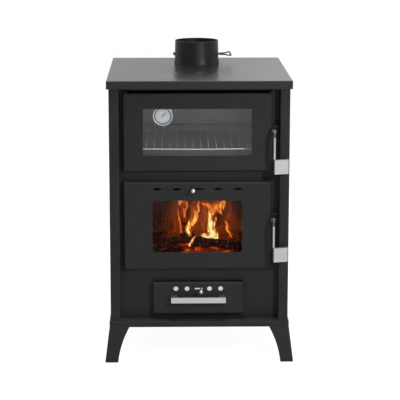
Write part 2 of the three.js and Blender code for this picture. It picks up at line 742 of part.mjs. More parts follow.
function buildDrawer() {
  const left = drawerLeft();
  const right = drawerRight();
  const middle = (left + right) / 2;
  const wall = drawer.wall;
  const airZ = drawerTop - drawerAir.fromTop;
  const frontX = [left, right];
  const frontZ = [drawerBottom, drawerTop];
  const pan = cut(
    softPan(frontX, [doorFront, panelFront - seatGap], frontZ, drawer.corner, drawer.edge),
    slab(grow(frontX, -wall), [doorFront + drawer.face, panelFront], grow(frontZ, -wall)),
  );
  const holeX = drawerAir.holeOffsets.map((offset) => middle + offset);
  const faceRange = [doorFront - 1, doorFront + drawer.face + 1];
  const airHoles = holeX.map((x) => barY(x, airZ, drawerAir.hole, faceRange, 6));
  const slotX = middle + drawerAir.slotShift;
  const slot = prismY(slotShape(slotX, airZ, drawerAir.slotLength, drawerAir.slotHeight), faceRange, 3);
  add('ash_drawer_front', cut(pan, ...airHoles, slot), blackPaint);

  const slideY = [doorFront + drawer.face + seatGap, doorFront + drawer.face + seatGap + drawerAir.slide];
  const trayFront = slideY[1] + seatGap;
  const trayX = grow(frontX, -drawer.openingLap - drawer.traySideGap);
  const trayZ = [drawerBottom + wall, drawerTop - drawer.trayDrop];
  const trayY = [trayFront, trayFront + drawer.trayDepth];
  const thin = drawer.trayWall;
  const trayRoom = slab(grow(trayX, -thin), grow(trayY, -thin), [trayZ[0] + thin, trayZ[1] + 1]);
  const trayHoles = holeX.map((x) => barY(x, airZ, drawerAir.hole, [trayFront - 1, trayFront + thin + 1], 6));
  const slotOutline = slotShape(slotX, airZ, drawerAir.slotLength, drawerAir.slotHeight);
  const traySlot = prismY(slotOutline, [trayFront - 1, trayFront + thin + 1], 3);
  add('ash_drawer_tray', cut(slab(trayX, trayY, trayZ), trayRoom, ...trayHoles, traySlot), innerPaint);

  const reach = drawerAir.holeOffsets[3] + drawerAir.hole + drawerAir.slideMargin;
  const halfSlide = drawerAir.slideHeight / 2;
  const slide = slab([middle - reach, middle + reach], slideY, [airZ - halfSlide, airZ + halfSlide]);
  const slideHoles = holeX.map((x) => (
    barY(x + drawerAir.slideHoleShift, airZ, drawerAir.hole - 0.8, grow(slideY, 1), 6)
  ));
  add('drawer_air_slide', cut(slide, ...slideHoles), brightSteel);
  addKnob('drawer_air_knob', middle + drawerKnob.offset, airZ, slideY[0], nickel, [
    [0, 0], [drawerKnob.stem, 0], [drawerKnob.stem, drawerKnob.reach - 5],
    ...arcProfile(drawerKnob.ball, drawerKnob.reach, -65, 90),
  ]);

  const gripBottom = drawerBottom + drawerGrip.fromBottom;
  const gripZ = [gripBottom, gripBottom + drawerGrip.height];
  const gripX = [middle - drawerGrip.width / 2, middle + drawerGrip.width / 2];
  const barBack = doorFront - drawerGrip.standOff;
  const bar = slab(gripX, [barBack - drawerGrip.thickness, barBack], gripZ);
  const armLeft = slab([gripX[0], gripX[0] + drawerGrip.arm], [barBack - 1, doorFront], gripZ);
  const armRight = slab([gripX[1] - drawerGrip.arm, gripX[1]], [barBack - 1, doorFront], gripZ);
  add('drawer_handle', join(bar, armLeft, armRight), nickel);

  [[trayX[0], 1], [trayX[1], -1]].forEach(([edge, side]) => {
    const name = side > 0 ? 'drawer_runner_left' : 'drawer_runner_right';
    const across = (from, to) => [edge + side * from, edge + side * to].sort((a, b) => a - b);
    const along = [panelBack + seatGap, trayY[1] + drawerRunner.pastTray];
    const railTop = trayZ[0] - seatGap;
    const rail = slab(across(-seatGap, drawerRunner.foot), along, [baseTop, railTop]);
    const guide = slab(
      across(-seatGap - drawerRunner.sheet, -seatGap), along, [baseTop, railTop + drawerRunner.riser],
    );
    add(name, join(rail, guide), innerPaint);
  });
}

// ------------------------------------------------------------------ knobs

// Points of a round end: [radius, height] from one angle to another, around `centre` on the axis.
function arcProfile(radius, centre, fromDegrees, toDegrees) {
  const steps = 6;
  const points = [];
  for (let step = 0; step <= steps; step += 1) {
    const angle = THREE.MathUtils.degToRad(fromDegrees + ((toDegrees - fromDegrees) * step) / steps);
    points.push([Math.max(radius * Math.cos(angle), 0), centre + radius * Math.sin(angle)]);
  }
  points[points.length - 1][0] = toDegrees === 90 ? 0 : points[points.length - 1][0];
  return points;
}

// A turned knob that starts on the plane y = seat and points forwards, to -Y.
function addKnob(name, x, z, seat, material, profile) {
  const geometry = turned(profile, 16);
  geometry.rotateX(Math.PI);
  geometry.translate(x, seat, z);
  add(name, toSolid(geometry), material);
}

// ------------------------------------------------------------------ doors

function ringSlab(x, y, z, width) {
  return cut(slab(x, y, z), slab(grow(x, -width), grow(y, 1), grow(z, -width)));
}

function doorShell(bottom, top, sizes) {
  const y = [doorFront, doorFront + door.depth];
  const solid = softPan([doorLeft, doorRight], y, [bottom, top], door.corner, door.edge);
  const hollow = slab(
    [doorLeft + door.wall, doorRight - door.wall], [doorFront + door.face, y[1] - door.flangeSheet],
    [bottom + door.wall, top - door.wall],
  );
  const mouth = slab(
    [doorLeft + door.flange, doorRight - door.flange], [doorFront + door.face + 1, y[1] + 1],
    [bottom + door.flange, top - door.flange],
  );
  const windowHole = prismY(
    roundedRect(
      [doorLeft + sizes.windowSide, doorRight - sizes.windowSide],
      [bottom + sizes.windowBottom, top - sizes.windowTop], sizes.windowCorner,
    ),
    [doorFront - 1, doorFront + door.face + 1],
  );
  const pinHole = hinge.pin + hinge.pinFit;
  const holes = [[top - door.wall - 1, top + 1], [bottom - 1, bottom + door.wall + 1]].map((range) => (
    barZ(hingeX, hingeY, pinHole, range, 5)
  ));
  return cut(solid, hollow, mouth, windowHole, ...holes);
}

function buildDoor(prefix, bottom, top, sizes) {
  const windowX = [doorLeft + sizes.windowSide, doorRight - sizes.windowSide];
  const windowZ = [bottom + sizes.windowBottom, top - sizes.windowTop];
  const glassY = [doorFront + door.face, doorFront + door.face + glass.thickness];
  add(`${prefix}_door_glass`, slab(grow(windowX, glass.lap), glassY, grow(windowZ, glass.lap)), clearGlass);

  const frameX = grow(windowX, glass.frameReveal + glass.frameWidth);
  const frameZ = grow(windowZ, glass.frameReveal + glass.frameWidth);
  const frameY = [glassY[1], glassY[1] + glass.frameSheet];
  const lipWidth = glass.frameReveal + glass.frameWidth - glass.lap - seatGap;
  const frame = join(
    ringSlab(frameX, frameY, frameZ, glass.frameWidth),
    ringSlab(frameX, [glassY[0], frameY[1]], frameZ, lipWidth),
  );
  add(`${prefix}_glass_frame`, frame, innerPaint);

  const sealY = [doorFront + door.depth, panelFront - seatGap];
  const sealX = grow([doorLeft, doorRight], -gasket.inset);
  const sealZ = grow([bottom, top], -gasket.inset);
  add(`${prefix}_door_gasket`, ringSlab(sealX, sealY, sealZ, gasket.width), rope);

  [['top', top, 1], ['bottom', bottom, -1]].forEach(([end, edge, way]) => {
    const span = (from, to) => [edge + way * from, edge + way * to].sort((a, b) => a - b);
    const half = hinge.lugWidth / 2;
    const lugZ = span(seatGap, seatGap + hinge.lug);
    const lug = slab([hingeX - half, hingeX + half], [hingeY, panelFront], lugZ);
    const nose = barZ(hingeX, hingeY, half, lugZ, 6);
    const pin = barZ(hingeX, hingeY, hinge.pin, span(seatGap + 1, seatGap - hinge.pinLength), 5);
    add(`${prefix}_hinge_${end}`, join(lug, nose, pin), blackPaint);
  });
}

function buildOvenDoor() {
  add('oven_door', doorShell(ovenDoorBottom, ovenDoorTop, ovenDoor), blackPaint);
  buildDoor('oven', ovenDoorBottom, ovenDoorTop, ovenDoor);

  const x = doorLeft + thermometer.fromDoorEdge;
  const z = ovenDoorTop - thermometer.fromDoorTop;
  const front = doorFront + door.face + glass.thickness + glass.frameSheet;
  const recessFloor = front + thermometer.recess;
  const back = front + thermometer.depth;
  const opening = thermometer.radius - thermometer.bezel;
  const bezel = turned([
    [0, back], [0, recessFloor], [opening, recessFloor], [opening, front],
    [thermometer.radius, front], [thermometer.radius, back], [0, back],
  ], 40);
  bezel.translate(x, 0, z);
  add('thermometer_case', toSolid(bezel), brightSteel);
  const dialFront = recessFloor - thermometer.dialThick;
  add('thermometer_dial', barY(x, z, thermometer.dial, [dialFront, recessFloor], 18), dialWhite);
  const half = thermometer.pointerLength / 2;
  const needle = prismY(
    polygon([[half, -thermometer.pointerWidth / 2], [half, thermometer.pointerWidth / 2], [-half, 0]]),
    [dialFront - seatGap - thermometer.pointerThick, dialFront - seatGap],
  );
  const spindle = barY(0, 0, thermometer.pointerHub, [
    dialFront - seatGap - thermometer.pointerThick, dialFront - seatGap,
  ], 5);
  add('thermometer_pointer', join(needle, spindle)
    .rotate([0, -thermometer.pointerAngle, 0]).translate([x, 0, z]), pointerBlack);
}

function lensShape(middle, z, length, height) {
  const shape = new THREE.Shape();
  const half = length / 2;
  const rise = height / 2;
  shape.moveTo(middle - half, z);
  shape.quadraticCurveTo(middle - half * 0.55, z - rise, middle, z - rise);
  shape.quadraticCurveTo(middle + half * 0.55, z - rise, middle + half, z);
  shape.quadraticCurveTo(middle + half * 0.55, z + rise, middle, z + rise);
  shape.quadraticCurveTo(middle - half * 0.55, z + rise, middle - half, z);
  return shape;
}

function buildFireDoor() {
  const airZ = fireDoorTop - doorAir.fromTop;
  const faceRange = [doorFront - 1, doorFront + door.face + 1];
  const vents = doorAir.ventOffsets.map((offset) => (
    prismY(lensShape(doorMiddle + offset, airZ, doorAir.ventLength, doorAir.ventHeight), faceRange, 4)
  ));
  const slot = prismY(slotShape(doorMiddle, airZ, doorAir.slotLength, doorAir.slotHeight), faceRange, 3);
  add('firebox_door', cut(doorShell(fireDoorBottom, fireDoorTop, fireDoor), ...vents, slot), blackPaint);
  buildDoor('firebox', fireDoorBottom, fireDoorTop, fireDoor);

  const slideY = [doorFront + door.face + seatGap, doorFront + door.face + seatGap + doorAir.slide];
  const reach = doorAir.ventOffsets[3] + doorAir.ventLength / 2 + doorAir.slideMargin;
  const halfSlide = doorAir.slideHeight / 2;
  const slide = slab([doorMiddle - reach, doorMiddle + reach], slideY, [airZ - halfSlide, airZ + halfSlide]);
  const slideVents = doorAir.ventOffsets.map((offset) => (
    prismY(lensShape(doorMiddle + offset, airZ, doorAir.ventLength, doorAir.ventHeight), grow(slideY, 1), 4)
  ));
  add('firebox_air_slide', cut(slide, ...slideVents), innerPaint);
  addKnob('firebox_air_knob', doorMiddle + doorKnob.offset, airZ, slideY[0], nickel, [
    [0, 0], [doorKnob.stem, 0], [doorKnob.stem, doorKnob.neck],
    [doorKnob.radius - 1, doorKnob.neck], [doorKnob.radius, doorKnob.neck + 1],
    [doorKnob.radius, doorKnob.reach], [doorKnob.radius - doorKnob.rim, doorKnob.reach + doorKnob.rim + 0.5],
    [0, doorKnob.reach + doorKnob.rim + 1],
  ]);
}

// ---------------------------------------------------------------- handles

// A lift latch at the door's free edge. It is drawn around its pivot, which runs along X.
function buildHandle(prefix, pivotZ) {
  const group = new THREE.Group();
  group.position.set(0, handleY, pivotZ);
  stove.add(group);
  const put = (name, solid, material) => addTo(group, `${prefix}_${name}`, solid, material);

  const earX = [doorRight, doorRight + handle.earSheet];
  const earBack = handle.pivotAhead + door.depth - 1;
  const ear = join(
    prismX(disc(0, 0, handle.earRadius), earX, 10),
    prismX(roundedRect([0, earBack], [-handle.earHeight / 2, handle.earHeight / 2], 1), earX, 2),
  );
  const earHole = barX(0, 0, handle.pin + seatGap, grow(earX, 1));
  put('handle_bracket', cut(ear, earHole), blackPaint);

  const plateX = [earX[1] + seatGap, earX[1] + seatGap + handle.plate];
  const armBack = handle.armDepth - handle.armFront;
  const blockTop = block.height - handle.length;
  const nose = -handle.armFront - block.ahead;
  const seat = nose + block.seat;
  const arm = prismX(polygon([
    [seat, -handle.length], [armBack, -handle.length], [armBack, -2 * handle.armTop],
    [6, -5], [0, 8], [-6, 6], [-handle.armFront + 3, -handle.armTop + 2],
    [-handle.armFront, -handle.armTop - 2], [-handle.armFront, blockTop + seatGap], [seat, blockTop + seatGap],
  ]), plateX);
  const hub = barX(0, 0, handle.hub, plateX, 10);
  const hookTop = handle.tailTop + handle.hookRise;
  const hookFront = handle.tail - handle.hook;
  const tail = prismX(polygon([
    [0, -handle.tailBottom], [handle.tail, -handle.tailBottom], [handle.tail, hookTop],
    [hookFront, hookTop], [hookFront, handle.tailTop], [0, handle.tailTop],
  ]), plateX);
  const coolingY = (armBack - handle.armFront) / 2;
  const holes = [];
  for (let hole = 0; hole < handle.coolingHoles; hole += 1) {
    const z = -handle.armTop - handle.coolingPitch * (hole + 1);
    holes.push(barX(coolingY, z, handle.coolingHole, grow(plateX, 1), 4));
  }
  const pivotHole = barX(0, 0, handle.pin + seatGap, grow(plateX, 1));
  put('handle_lever', cut(join(arm, hub, tail), pivotHole, ...holes), nickel);

  const pinEnd = plateX[1] + seatGap;
  const pin = join(
    barX(0, 0, handle.pin, [earX[0] - handle.pinHeadThick, pinEnd + handle.pinHeadThick]),
    barX(0, 0, handle.pinHead, [earX[0] - handle.pinHeadThick, earX[0]], 10),
    barX(0, 0, handle.pinHead, [pinEnd, pinEnd + handle.pinHeadThick], 10),
  );
  put('handle_pin', pin, nickel);

  const across = block.width * Math.cos(blockTurn) - block.lap;
  const back = block.width * Math.sin(blockTurn);
  const plan = polygon([
    [-block.lap, nose], [across - block.corner, nose + back - 0.6], [across + 0.8, nose + back + block.corner],
    [across, nose + back + block.depth - block.corner], [across - block.corner, nose + back + block.depth],
    [0, nose + block.depth], [0, seat - seatGap], [-block.lap, seat - seatGap],
  ]);
  put('handle_block', prismZ(plan, [-handle.length, blockTop]).translate([plateX[1], 0, 0]), nickel);

  const barBottom = hookTop + keeper.hookGap;
  const wallY = panelFront - handleY;
  const barBack = wallY - keeper.barBack;
  const postX = plateX[1] + 2;
  const keeperX = [postX, postX + keeper.width];
  const barZRange = [barBottom, barBottom + keeper.bar];
  const footZ = [barBottom - keeper.baseBelow, barBottom - keeper.baseBelow + keeper.baseHeight];
  const holder = join(
    slab([plateX[0] - 0.8, keeperX[1]], [barBack - keeper.bar, barBack], barZRange),
    slab(keeperX, [barBack - keeper.bar, wallY], barZRange),
    slab(keeperX, [wallY - keeper.baseSheet, wallY], footZ),
  );
  put('latch_keeper', holder, blackPaint);
}

// ----------------------------------------------------------------- build

buildCooktop();
buildFlue();
buildPanels();
buildBase();
buildLeg('leg_front_left', -1, -1);
buildLeg('leg_front_right', 1, -1);
buildLeg('leg_back_left', -1, 1);
buildLeg('leg_back_right', 1, 1);
buildOven();
buildFirebox();
buildDrawer();
buildOvenDoor();
buildFireDoor();
buildHandle('oven', ovenDoorBottom + handle.ovenPivot);
buildHandle('firebox', fireDoorBottom + handle.firePivot);

// The origin is on the floor, in the middle of the stove's whole box.
const foremost = Math.min(handleY - handle.armFront - block.ahead, -footReach);
const rearmost = Math.max(cooktop.depth, bodyBack + base.past + leg.flare);
stove.position.y = -(foremost + rearmost) / 2;

export default stove;
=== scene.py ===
"""The looks of a wood cookstove: paint, steel, glass, brick, rope and a burning fire.

Everything is in metres in the part's own frame: the floor is z = 0 and the doors face -Y.
"""
import json
import math

import bmesh
import bpy
from mathutils import Matrix, Vector, noise


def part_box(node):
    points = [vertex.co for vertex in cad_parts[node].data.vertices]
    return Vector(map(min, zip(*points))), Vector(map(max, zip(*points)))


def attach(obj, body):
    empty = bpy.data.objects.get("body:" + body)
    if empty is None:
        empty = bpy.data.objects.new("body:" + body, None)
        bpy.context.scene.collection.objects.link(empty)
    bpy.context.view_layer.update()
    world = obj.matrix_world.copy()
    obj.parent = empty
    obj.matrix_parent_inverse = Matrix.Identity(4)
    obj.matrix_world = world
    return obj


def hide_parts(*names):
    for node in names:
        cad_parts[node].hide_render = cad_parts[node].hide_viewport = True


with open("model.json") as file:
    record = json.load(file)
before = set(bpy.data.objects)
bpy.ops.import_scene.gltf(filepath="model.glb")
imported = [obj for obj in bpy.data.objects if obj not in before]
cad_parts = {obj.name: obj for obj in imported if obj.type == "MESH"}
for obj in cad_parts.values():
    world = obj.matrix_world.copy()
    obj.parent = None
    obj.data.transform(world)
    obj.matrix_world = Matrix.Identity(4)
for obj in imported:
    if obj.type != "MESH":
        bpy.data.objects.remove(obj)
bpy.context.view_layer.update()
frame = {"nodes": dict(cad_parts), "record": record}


# ---- shader maths

class Value:
    """A number inside a tree of nodes, so that sums on it are written as sums."""

    def __init__(self, nodes, socket):
        self.nodes = nodes
        self.socket = socket

    def __add__(self, other):
        return self.nodes.math("ADD", self, other)

    __radd__ = __add__

    def __sub__(self, other):
        return self.nodes.math("SUBTRACT", self, other)

    def __rsub__(self, other):
        return self.nodes.math("SUBTRACT", other, self)

    def __mul__(self, other):
        return self.nodes.math("MULTIPLY", self, other)

    __rmul__ = __mul__

    def least(self, other):
        return self.nodes.math("MINIMUM", self, other)

    def most(self, other):
        return self.nodes.math("MAXIMUM", self, other)

    def between(self, low, high):
        """0 below low, 1 above high, and a soft step from one to the other."""
        node = self.nodes.node(
            "ShaderNodeMapRange", {"interpolation_type": "SMOOTHSTEP"},
            {"Value": self, "From Min": low, "From Max": high})
        return Value(self.nodes, node.outputs["Result"])


class Nodes:
    """A tree of nodes that values and links are written into."""

    def __init__(self, tree):
        self.tree = tree

    def node(self, kind, settings=None, inputs=None):
        node = self.tree.nodes.new(kind)
        for name, value in (settings or {}).items():
            setattr(node, name, value)
        for name, value in (inputs or {}).items():
            self.feed(node.inputs[name], value)
        return node

    def feed(self, socket, value):
        """Links a value, a socket or a node's first output to the socket, or sets a constant."""
        if isinstance(value, Value):
            value = value.socket
        if isinstance(value, bpy.types.Node):
            value = value.outputs[0]
        if isinstance(value, bpy.types.NodeSocket):
            self.tree.links.new(value, socket)
        else:
            socket.default_value = value

    def math(self, operation, a, b=0.0):
        node = self.node("ShaderNodeMath", {"operation": operation}, {0: a, 1: b})
        return Value(self, node.outputs[0])

    def seen(self):
        """1 where the camera looks, straight on or by way of metal or glass, and 0 for light."""
        rays = self.node("ShaderNodeLightPath").outputs
        camera, mirrored, through = (
            Value(self, rays[f"Is {kind} Ray"]) for kind in ("Camera", "Glossy", "Transmission"))
        return camera.most(mirrored).most(through)


class Finish(Nodes):
    """One material, made of nodes round a Principled shader."""

    def __init__(self, name, **constants):
        self.material = bpy.data.materials.new(name)
        self.material.use_nodes = True
        super().__init__(self.material.node_tree)
        self.tree.nodes.clear()
        self.output = self.tree.nodes.new("ShaderNodeOutputMaterial")
        self.shader = self.tree.nodes.new("ShaderNodeBsdfPrincipled")
        self.feed(self.output.inputs["Surface"], self.shader)
        self.set(**constants)

    def set(self, **values):
        """Sets the shader's sockets: Base_Color=..., Roughness=..."""
        for name, value in values.items():
            self.feed(self.shader.inputs[name.replace("_", " ")], value)

    def place(self, stretch=None):
        """Object coordinates in metres, stretched where asked."""
        where = self.node("ShaderNodeTexCoord").outputs["Object"]
        return self.stretched(where, stretch) if stretch else where

    def stretched(self, where, stretch):
        return self.node("ShaderNodeMapping", None, {"Vector": where, "Scale": stretch})

    def noise(self, scale, detail=2.0, rough=0.5, distortion=0.0, where=None):
        node = self.node("ShaderNodeTexNoise", None, {
            "Vector": where or self.place(), "Scale": scale, "Detail": detail,
            "Roughness": rough, "Distortion": distortion})
        return Value(self, node.outputs["Fac"])

    def cells(self, scale, where=None, feature="F1"):
        node = self.node("ShaderNodeTexVoronoi", {"feature": feature},
                         {"Vector": where or self.place(), "Scale": scale})
        return Value(self, node.outputs["Distance"])

    def axis(self, name, where=None):
        node = self.node("ShaderNodeSeparateXYZ", None, {0: where or self.place()})
        return Value(self, node.outputs[name])

    def blend(self, factor, a, b):
        """A colour from a to b."""
        node = self.node("ShaderNodeMix", {"data_type": "RGBA"}, {0: factor, 6: a, 7: b})
        return node.outputs[2]

    def ramp(self, factor, stops):
        node = self.node("ShaderNodeValToRGB", None, {0: factor})
        elements = node.color_ramp.elements
        while len(elements) < len(stops):
            elements.new(0.5)
        for element, (position, colour) in zip(elements, stops):
            element.position = position
            element.color = colour
        return node

    def bump(self, height, distance, strength):
        """Relief: the distance in metres that the height stands for, and its strength."""
        node = self.node("ShaderNodeBump", None, {
            "Height": height, "Distance": distance, "Strength": strength})
        self.feed(self.shader.inputs["Normal"], node)


class Maker(Nodes):
    """A geometry tree with named sizes, which grows a seed mesh into a finished one."""

    def __init__(self, name, **sizes):
        super().__init__(bpy.data.node_groups.new(name, "GeometryNodeTree"))
        sockets = self.tree.interface
        sockets.new_socket("Seed", in_out="INPUT", socket_type="NodeSocketGeometry")
        self.keys = {}
        for label, value in sizes.items():
            kind = "NodeSocketInt" if isinstance(value, int) else "NodeSocketFloat"
            socket = sockets.new_socket(label.replace("_", " "), in_out="INPUT", socket_type=kind)
            socket.default_value = value
            self.keys[label] = socket.identifier
        sockets.new_socket("Grown", in_out="OUTPUT", socket_type="NodeSocketGeometry")
        self.inlet = self.tree.nodes.new("NodeGroupInput")
        self.outlet = self.tree.nodes.new("NodeGroupOutput")

    def size(self, label):
        return Value(self, self.inlet.outputs[label.replace("_", " ")])

    def seed(self):
        return self.inlet.outputs["Seed"]

    def vector(self, x, y, z):
        return self.node("ShaderNodeCombineXYZ", None, {"X": x, "Y": y, "Z": z})

    def ends_in(self, geometry, material):
        real = self.node("GeometryNodeRealizeInstances", None, {"Geometry": geometry})
        shaded = self.node("GeometryNodeSetShadeSmooth", None, {"Geometry": real})
        done = self.node("GeometryNodeSetMaterial", None,
                         {"Geometry": shaded, "Material": material})
        self.feed(self.outlet.inputs["Grown"], done)
        return self

    def grow(self, name, seed, body, slot, **sizes):
        """The seed mesh grown by this tree, as a plain mesh that rides on a body."""
        starter = linked(name + "_seed", seed)
        modifier = starter.modifiers.new("grow", "NODES")
        modifier.node_group = self.tree
        for label, value in sizes.items():
            modifier[self.keys[label]] = value
        grown = starter.evaluated_get(bpy.context.evaluated_depsgraph_get())
        mesh = bpy.data.meshes.new_from_object(grown)
        mesh.name = name
        bpy.data.objects.remove(starter)
        return piece(name, outward(mesh), None, body)


def rgb(red, green, blue):
    """A colour written as it shows on a screen, 0 to 255, as the linear one that shaders take."""
    return tuple(linear(level / 255) for level in (red, green, blue)) + (1.0,)


def linear(level):
    return level / 12.92 if level <= 0.04045 else ((level + 0.055) / 1.055) ** 2.4


def grey(level):
    return rgb(level, level, level)


def middle_of(node):
    low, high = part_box(node)
    return (Vector(low) + Vector(high)) / 2


def linked(name, data):
    """An object in the scene that holds a mesh, a text, a light or a camera."""
    thing = bpy.data.objects.new(name, data)
    bpy.context.scene.collection.objects.link(thing)
    return thing


# ---- finishes

def painted(name, tone, roughness, grain, gloss):
    """Matte heat-proof paint on sheet steel: a fine orange peel, a little dust and handling."""
    paint = Finish(name, Metallic=0.0, Specular_IOR_Level=gloss)
    cloud = paint.noise(7, 3, 0.55)
    speck = paint.noise(420, 2, 0.6)
    wiped = paint.noise(3.2, 4, 0.6, 0.6, paint.place((1, 1, 0.35)))
    shade = cloud * 0.5 + speck * 0.5
    paint.set(
        Base_Color=paint.blend(shade.between(0.3, 0.7), grey(tone - 2), grey(tone + 2.5)),
        Roughness=roughness - 0.05 + wiped * 0.1)
    paint.bump(paint.noise(900, 3, 0.55) * 0.7 + paint.noise(160, 2) * 0.3, 0.00022 * grain, 0.35)
    return paint.material


def brushed(name, tone, roughness, stretch, metallic=1.0, tint=(0, 0, 0), gloss=0.5):
    """Bare metal with fine lines along the direction that stretch leaves long."""
    metal = Finish(name, Metallic=metallic, Specular_IOR_Level=gloss)
    line = metal.noise(1.0, 4, 0.65, 0.0, metal.place(stretch))
    cloud = metal.noise(9, 3, 0.6)
    low = rgb(*(tone - 14 + part for part in tint))
    high = rgb(*(tone + 8 + part for part in tint))
    metal.set(
        Base_Color=metal.blend(line * 0.6 + cloud * 0.4, low, high),
        Roughness=roughness - 0.06 + line * 0.1 + cloud * 0.05)
    metal.bump(line, 0.00005, 0.3)
    return metal.material


def cooktop_steel():
    """Dark steel plate with a satin skin, which mirrors softly at a low angle."""
    steel = Finish("dark_plate", Metallic=0.0, Specular_IOR_Level=0.069)
    cloud = steel.noise(4, 3, 0.55, 0.3)
    mill = steel.noise(1, 3, 0.6, 0.0, steel.place((5, 600, 5)))
    stain = steel.noise(13, 4, 0.6)
    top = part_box("cooktop_plate")[1][2]
    face = steel.blend(cloud * 0.5 + mill * 0.5, grey(13), grey(22))
    steel.set(
        Base_Color=steel.blend(steel.axis("Z").between(top - 0.003, top - 0.001), grey(38), face),
        Roughness=0.215 + cloud * 0.035 + stain.between(0.5, 0.85) * 0.03 + mill * 0.03)
    steel.bump(steel.noise(800, 2), 0.00002, 0.25)
    return steel.material


def rack_wire():
    """Chromed wire with painted light: bright at the oven's mouth, where the light comes in, and
    painted greyer and duller towards the back, where it is in shade.
    """
    wire = Finish("rack_chrome", Specular_IOR_Level=0.4)
    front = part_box("oven_rack")[0][1]
    # Painted shade: the wires turn greyer and duller towards the back of the oven.
    painted_back_shade = wire.axis("Y").between(front + 0.02, front + 0.17)
    cloud = wire.noise(60, 3, 0.6)
    wire.set(Base_Color=wire.blend(painted_back_shade, grey(238), wire.blend(cloud, grey(164), grey(174))),
             Metallic=painted_back_shade * 0.2, Roughness=0.24 + painted_back_shade * 0.5)
    wire.bump(cloud, 0.00004, 0.3)
    return wire.material


def lever_steel():
    """The handle levers: brushed; darker at the end on the pin, and painted darker beside the
    block, as the block's shadow.
    """
    steel = Finish("lever_steel", Metallic=1.0)
    line = steel.noise(1.0, 4, 0.65, 0.0, steel.place((30, 30, 500)))
    pins = [middle_of(door + "_handle_pin").z for door in ("oven", "firebox")]
    height = steel.axis("Z")
    near = [steel.math("ABSOLUTE", height - pin) for pin in pins]
    nearest = near[0].least(near[1])
    # Darker near the pin; beside the block this is a painted shadow of the block.
    pin_end_and_block_shadow = 1 - nearest.between(0.011, 0.016) + nearest.between(0.078, 0.083)
    steel.set(
        Base_Color=steel.blend(pin_end_and_block_shadow, steel.blend(line, grey(158), grey(180)), grey(62)),
        Roughness=0.28 + line * 0.1 + pin_end_and_block_shadow * 0.25)
    steel.bump(line, 0.00005, 0.3)
    return steel.material


def cast_iron():
    """Sand-cast iron: pitted, with patches of thin rust."""
    iron = Finish("cast_iron", Metallic=0.35, Specular_IOR_Level=0.35)
    pits = iron.cells(420)
    cloud = iron.noise(30, 4, 0.6)
    rust = iron.noise(60, 5, 0.7).between(0.55, 0.75) * 0.5
    bare = iron.blend(cloud, grey(38), grey(56))
    iron.set(Base_Color=iron.blend(rust, bare, rgb(96, 58, 38)), Roughness=0.6 + cloud * 0.12)
    iron.bump(pits * 0.5 + iron.noise(700, 3) * 0.5, 0.00035, 0.5)
    return iron.material


def firebrick_clay():
    """Fired clay with grog, fine joints and soot that thickens upwards and away from the fire."""
    clay = Finish("fired_clay", Metallic=0.0, Specular_IOR_Level=0.05, Roughness=0.92)
    grog = clay.cells(260)
    cloud = clay.noise(22, 5, 0.65)
    soot = clay.noise(9, 4, 0.6, 0.5) + clay.axis("Z") * 2.2 - 0.72
    body = clay.blend(cloud, rgb(112, 82, 56), rgb(142, 106, 74))
    clay.set(Base_Color=clay.blend(soot.between(0.1, 0.6), body, rgb(42, 28, 22)))
    half_long, half_high = 0.0575, 0.0615
    shift_x, shift_z = 5.002, 0.0035
    joint_edge = (0.0008, 0.0024)
    across = clay.math("PINGPONG", clay.axis("X") + shift_x, half_long)
    upward = clay.math("PINGPONG", clay.axis("Z") + shift_z, half_high)
    joint = (1 - across.between(*joint_edge)).most(1 - upward.between(*joint_edge))
    clay.bump(grog * 0.25 + clay.noise(300, 3) * 0.35 - joint, 0.0012, 0.6)
    return clay.material


def stove_rope():
    """Graphite-coated glass fibre."""
    yarn = Finish("gasket_yarn", Metallic=0.0, Specular_IOR_Level=0.25, Roughness=0.85)
    fibre = yarn.noise(1, 3, 0.7, 0.0, yarn.place((900, 900, 900)))
    yarn.set(Base_Color=yarn.blend(fibre, grey(34), grey(66)))
    yarn.bump(fibre, 0.0003, 0.6)
    return yarn.material


def door_glass(name, tint, mirror, haze, mirror_ramp, axis, start, end):
    """Clear glass as a see-through film: a faint mirror, stronger at a low angle, and some haze;
    the mirror also grows along an axis, from start to end. On the oven's glass that growth is
    painted light, brighter towards the right where the oven's inside is lit more."""
    glass = Finish(name, Metallic=1.0, Roughness=0.03, Base_Color=grey(250))
    cloud = glass.noise(9, 4, 0.6, 0.4)
    clear = glass.node("ShaderNodeBsdfTransparent", None, {"Color": tint})
    edgeways = glass.node("ShaderNodeLayerWeight", None, {"Blend": 0.12})
    # The share grows along the axis: on the oven glass, painted brightening towards the right.
    share = (mirror + cloud * haze + glass.axis(axis).between(start, end) * mirror_ramp
             + Value(glass, edgeways.outputs["Fresnel"]) * 0.35)
    mixed = glass.node("ShaderNodeMixShader", None, {
        0: share.least(1.0), 1: clear, 2: glass.shader})
    glass.feed(glass.output.inputs["Surface"], mixed)
    glass.material.use_transparent_shadow = True
    return glass.material


def plain(name, colour, roughness, scale=300, depth=0.00008):
    """Print, enamel or ash: one colour on a barely uneven surface."""
    coat = Finish(name, Metallic=0.0, Specular_IOR_Level=0.4)
    cloud = coat.noise(scale, 3, 0.6)
    soft = coat.noise(40, 3)
    pin_end_and_block_shadow = tuple(part * 0.86 for part in colour[:3]) + (1.0,)
    coat.set(Base_Color=coat.blend(cloud * 0.4 + soft * 0.6, pin_end_and_block_shadow, colour),
             Roughness=roughness - 0.04 + soft * 0.08)
    coat.bump(cloud, depth, 0.3)
    return coat.material


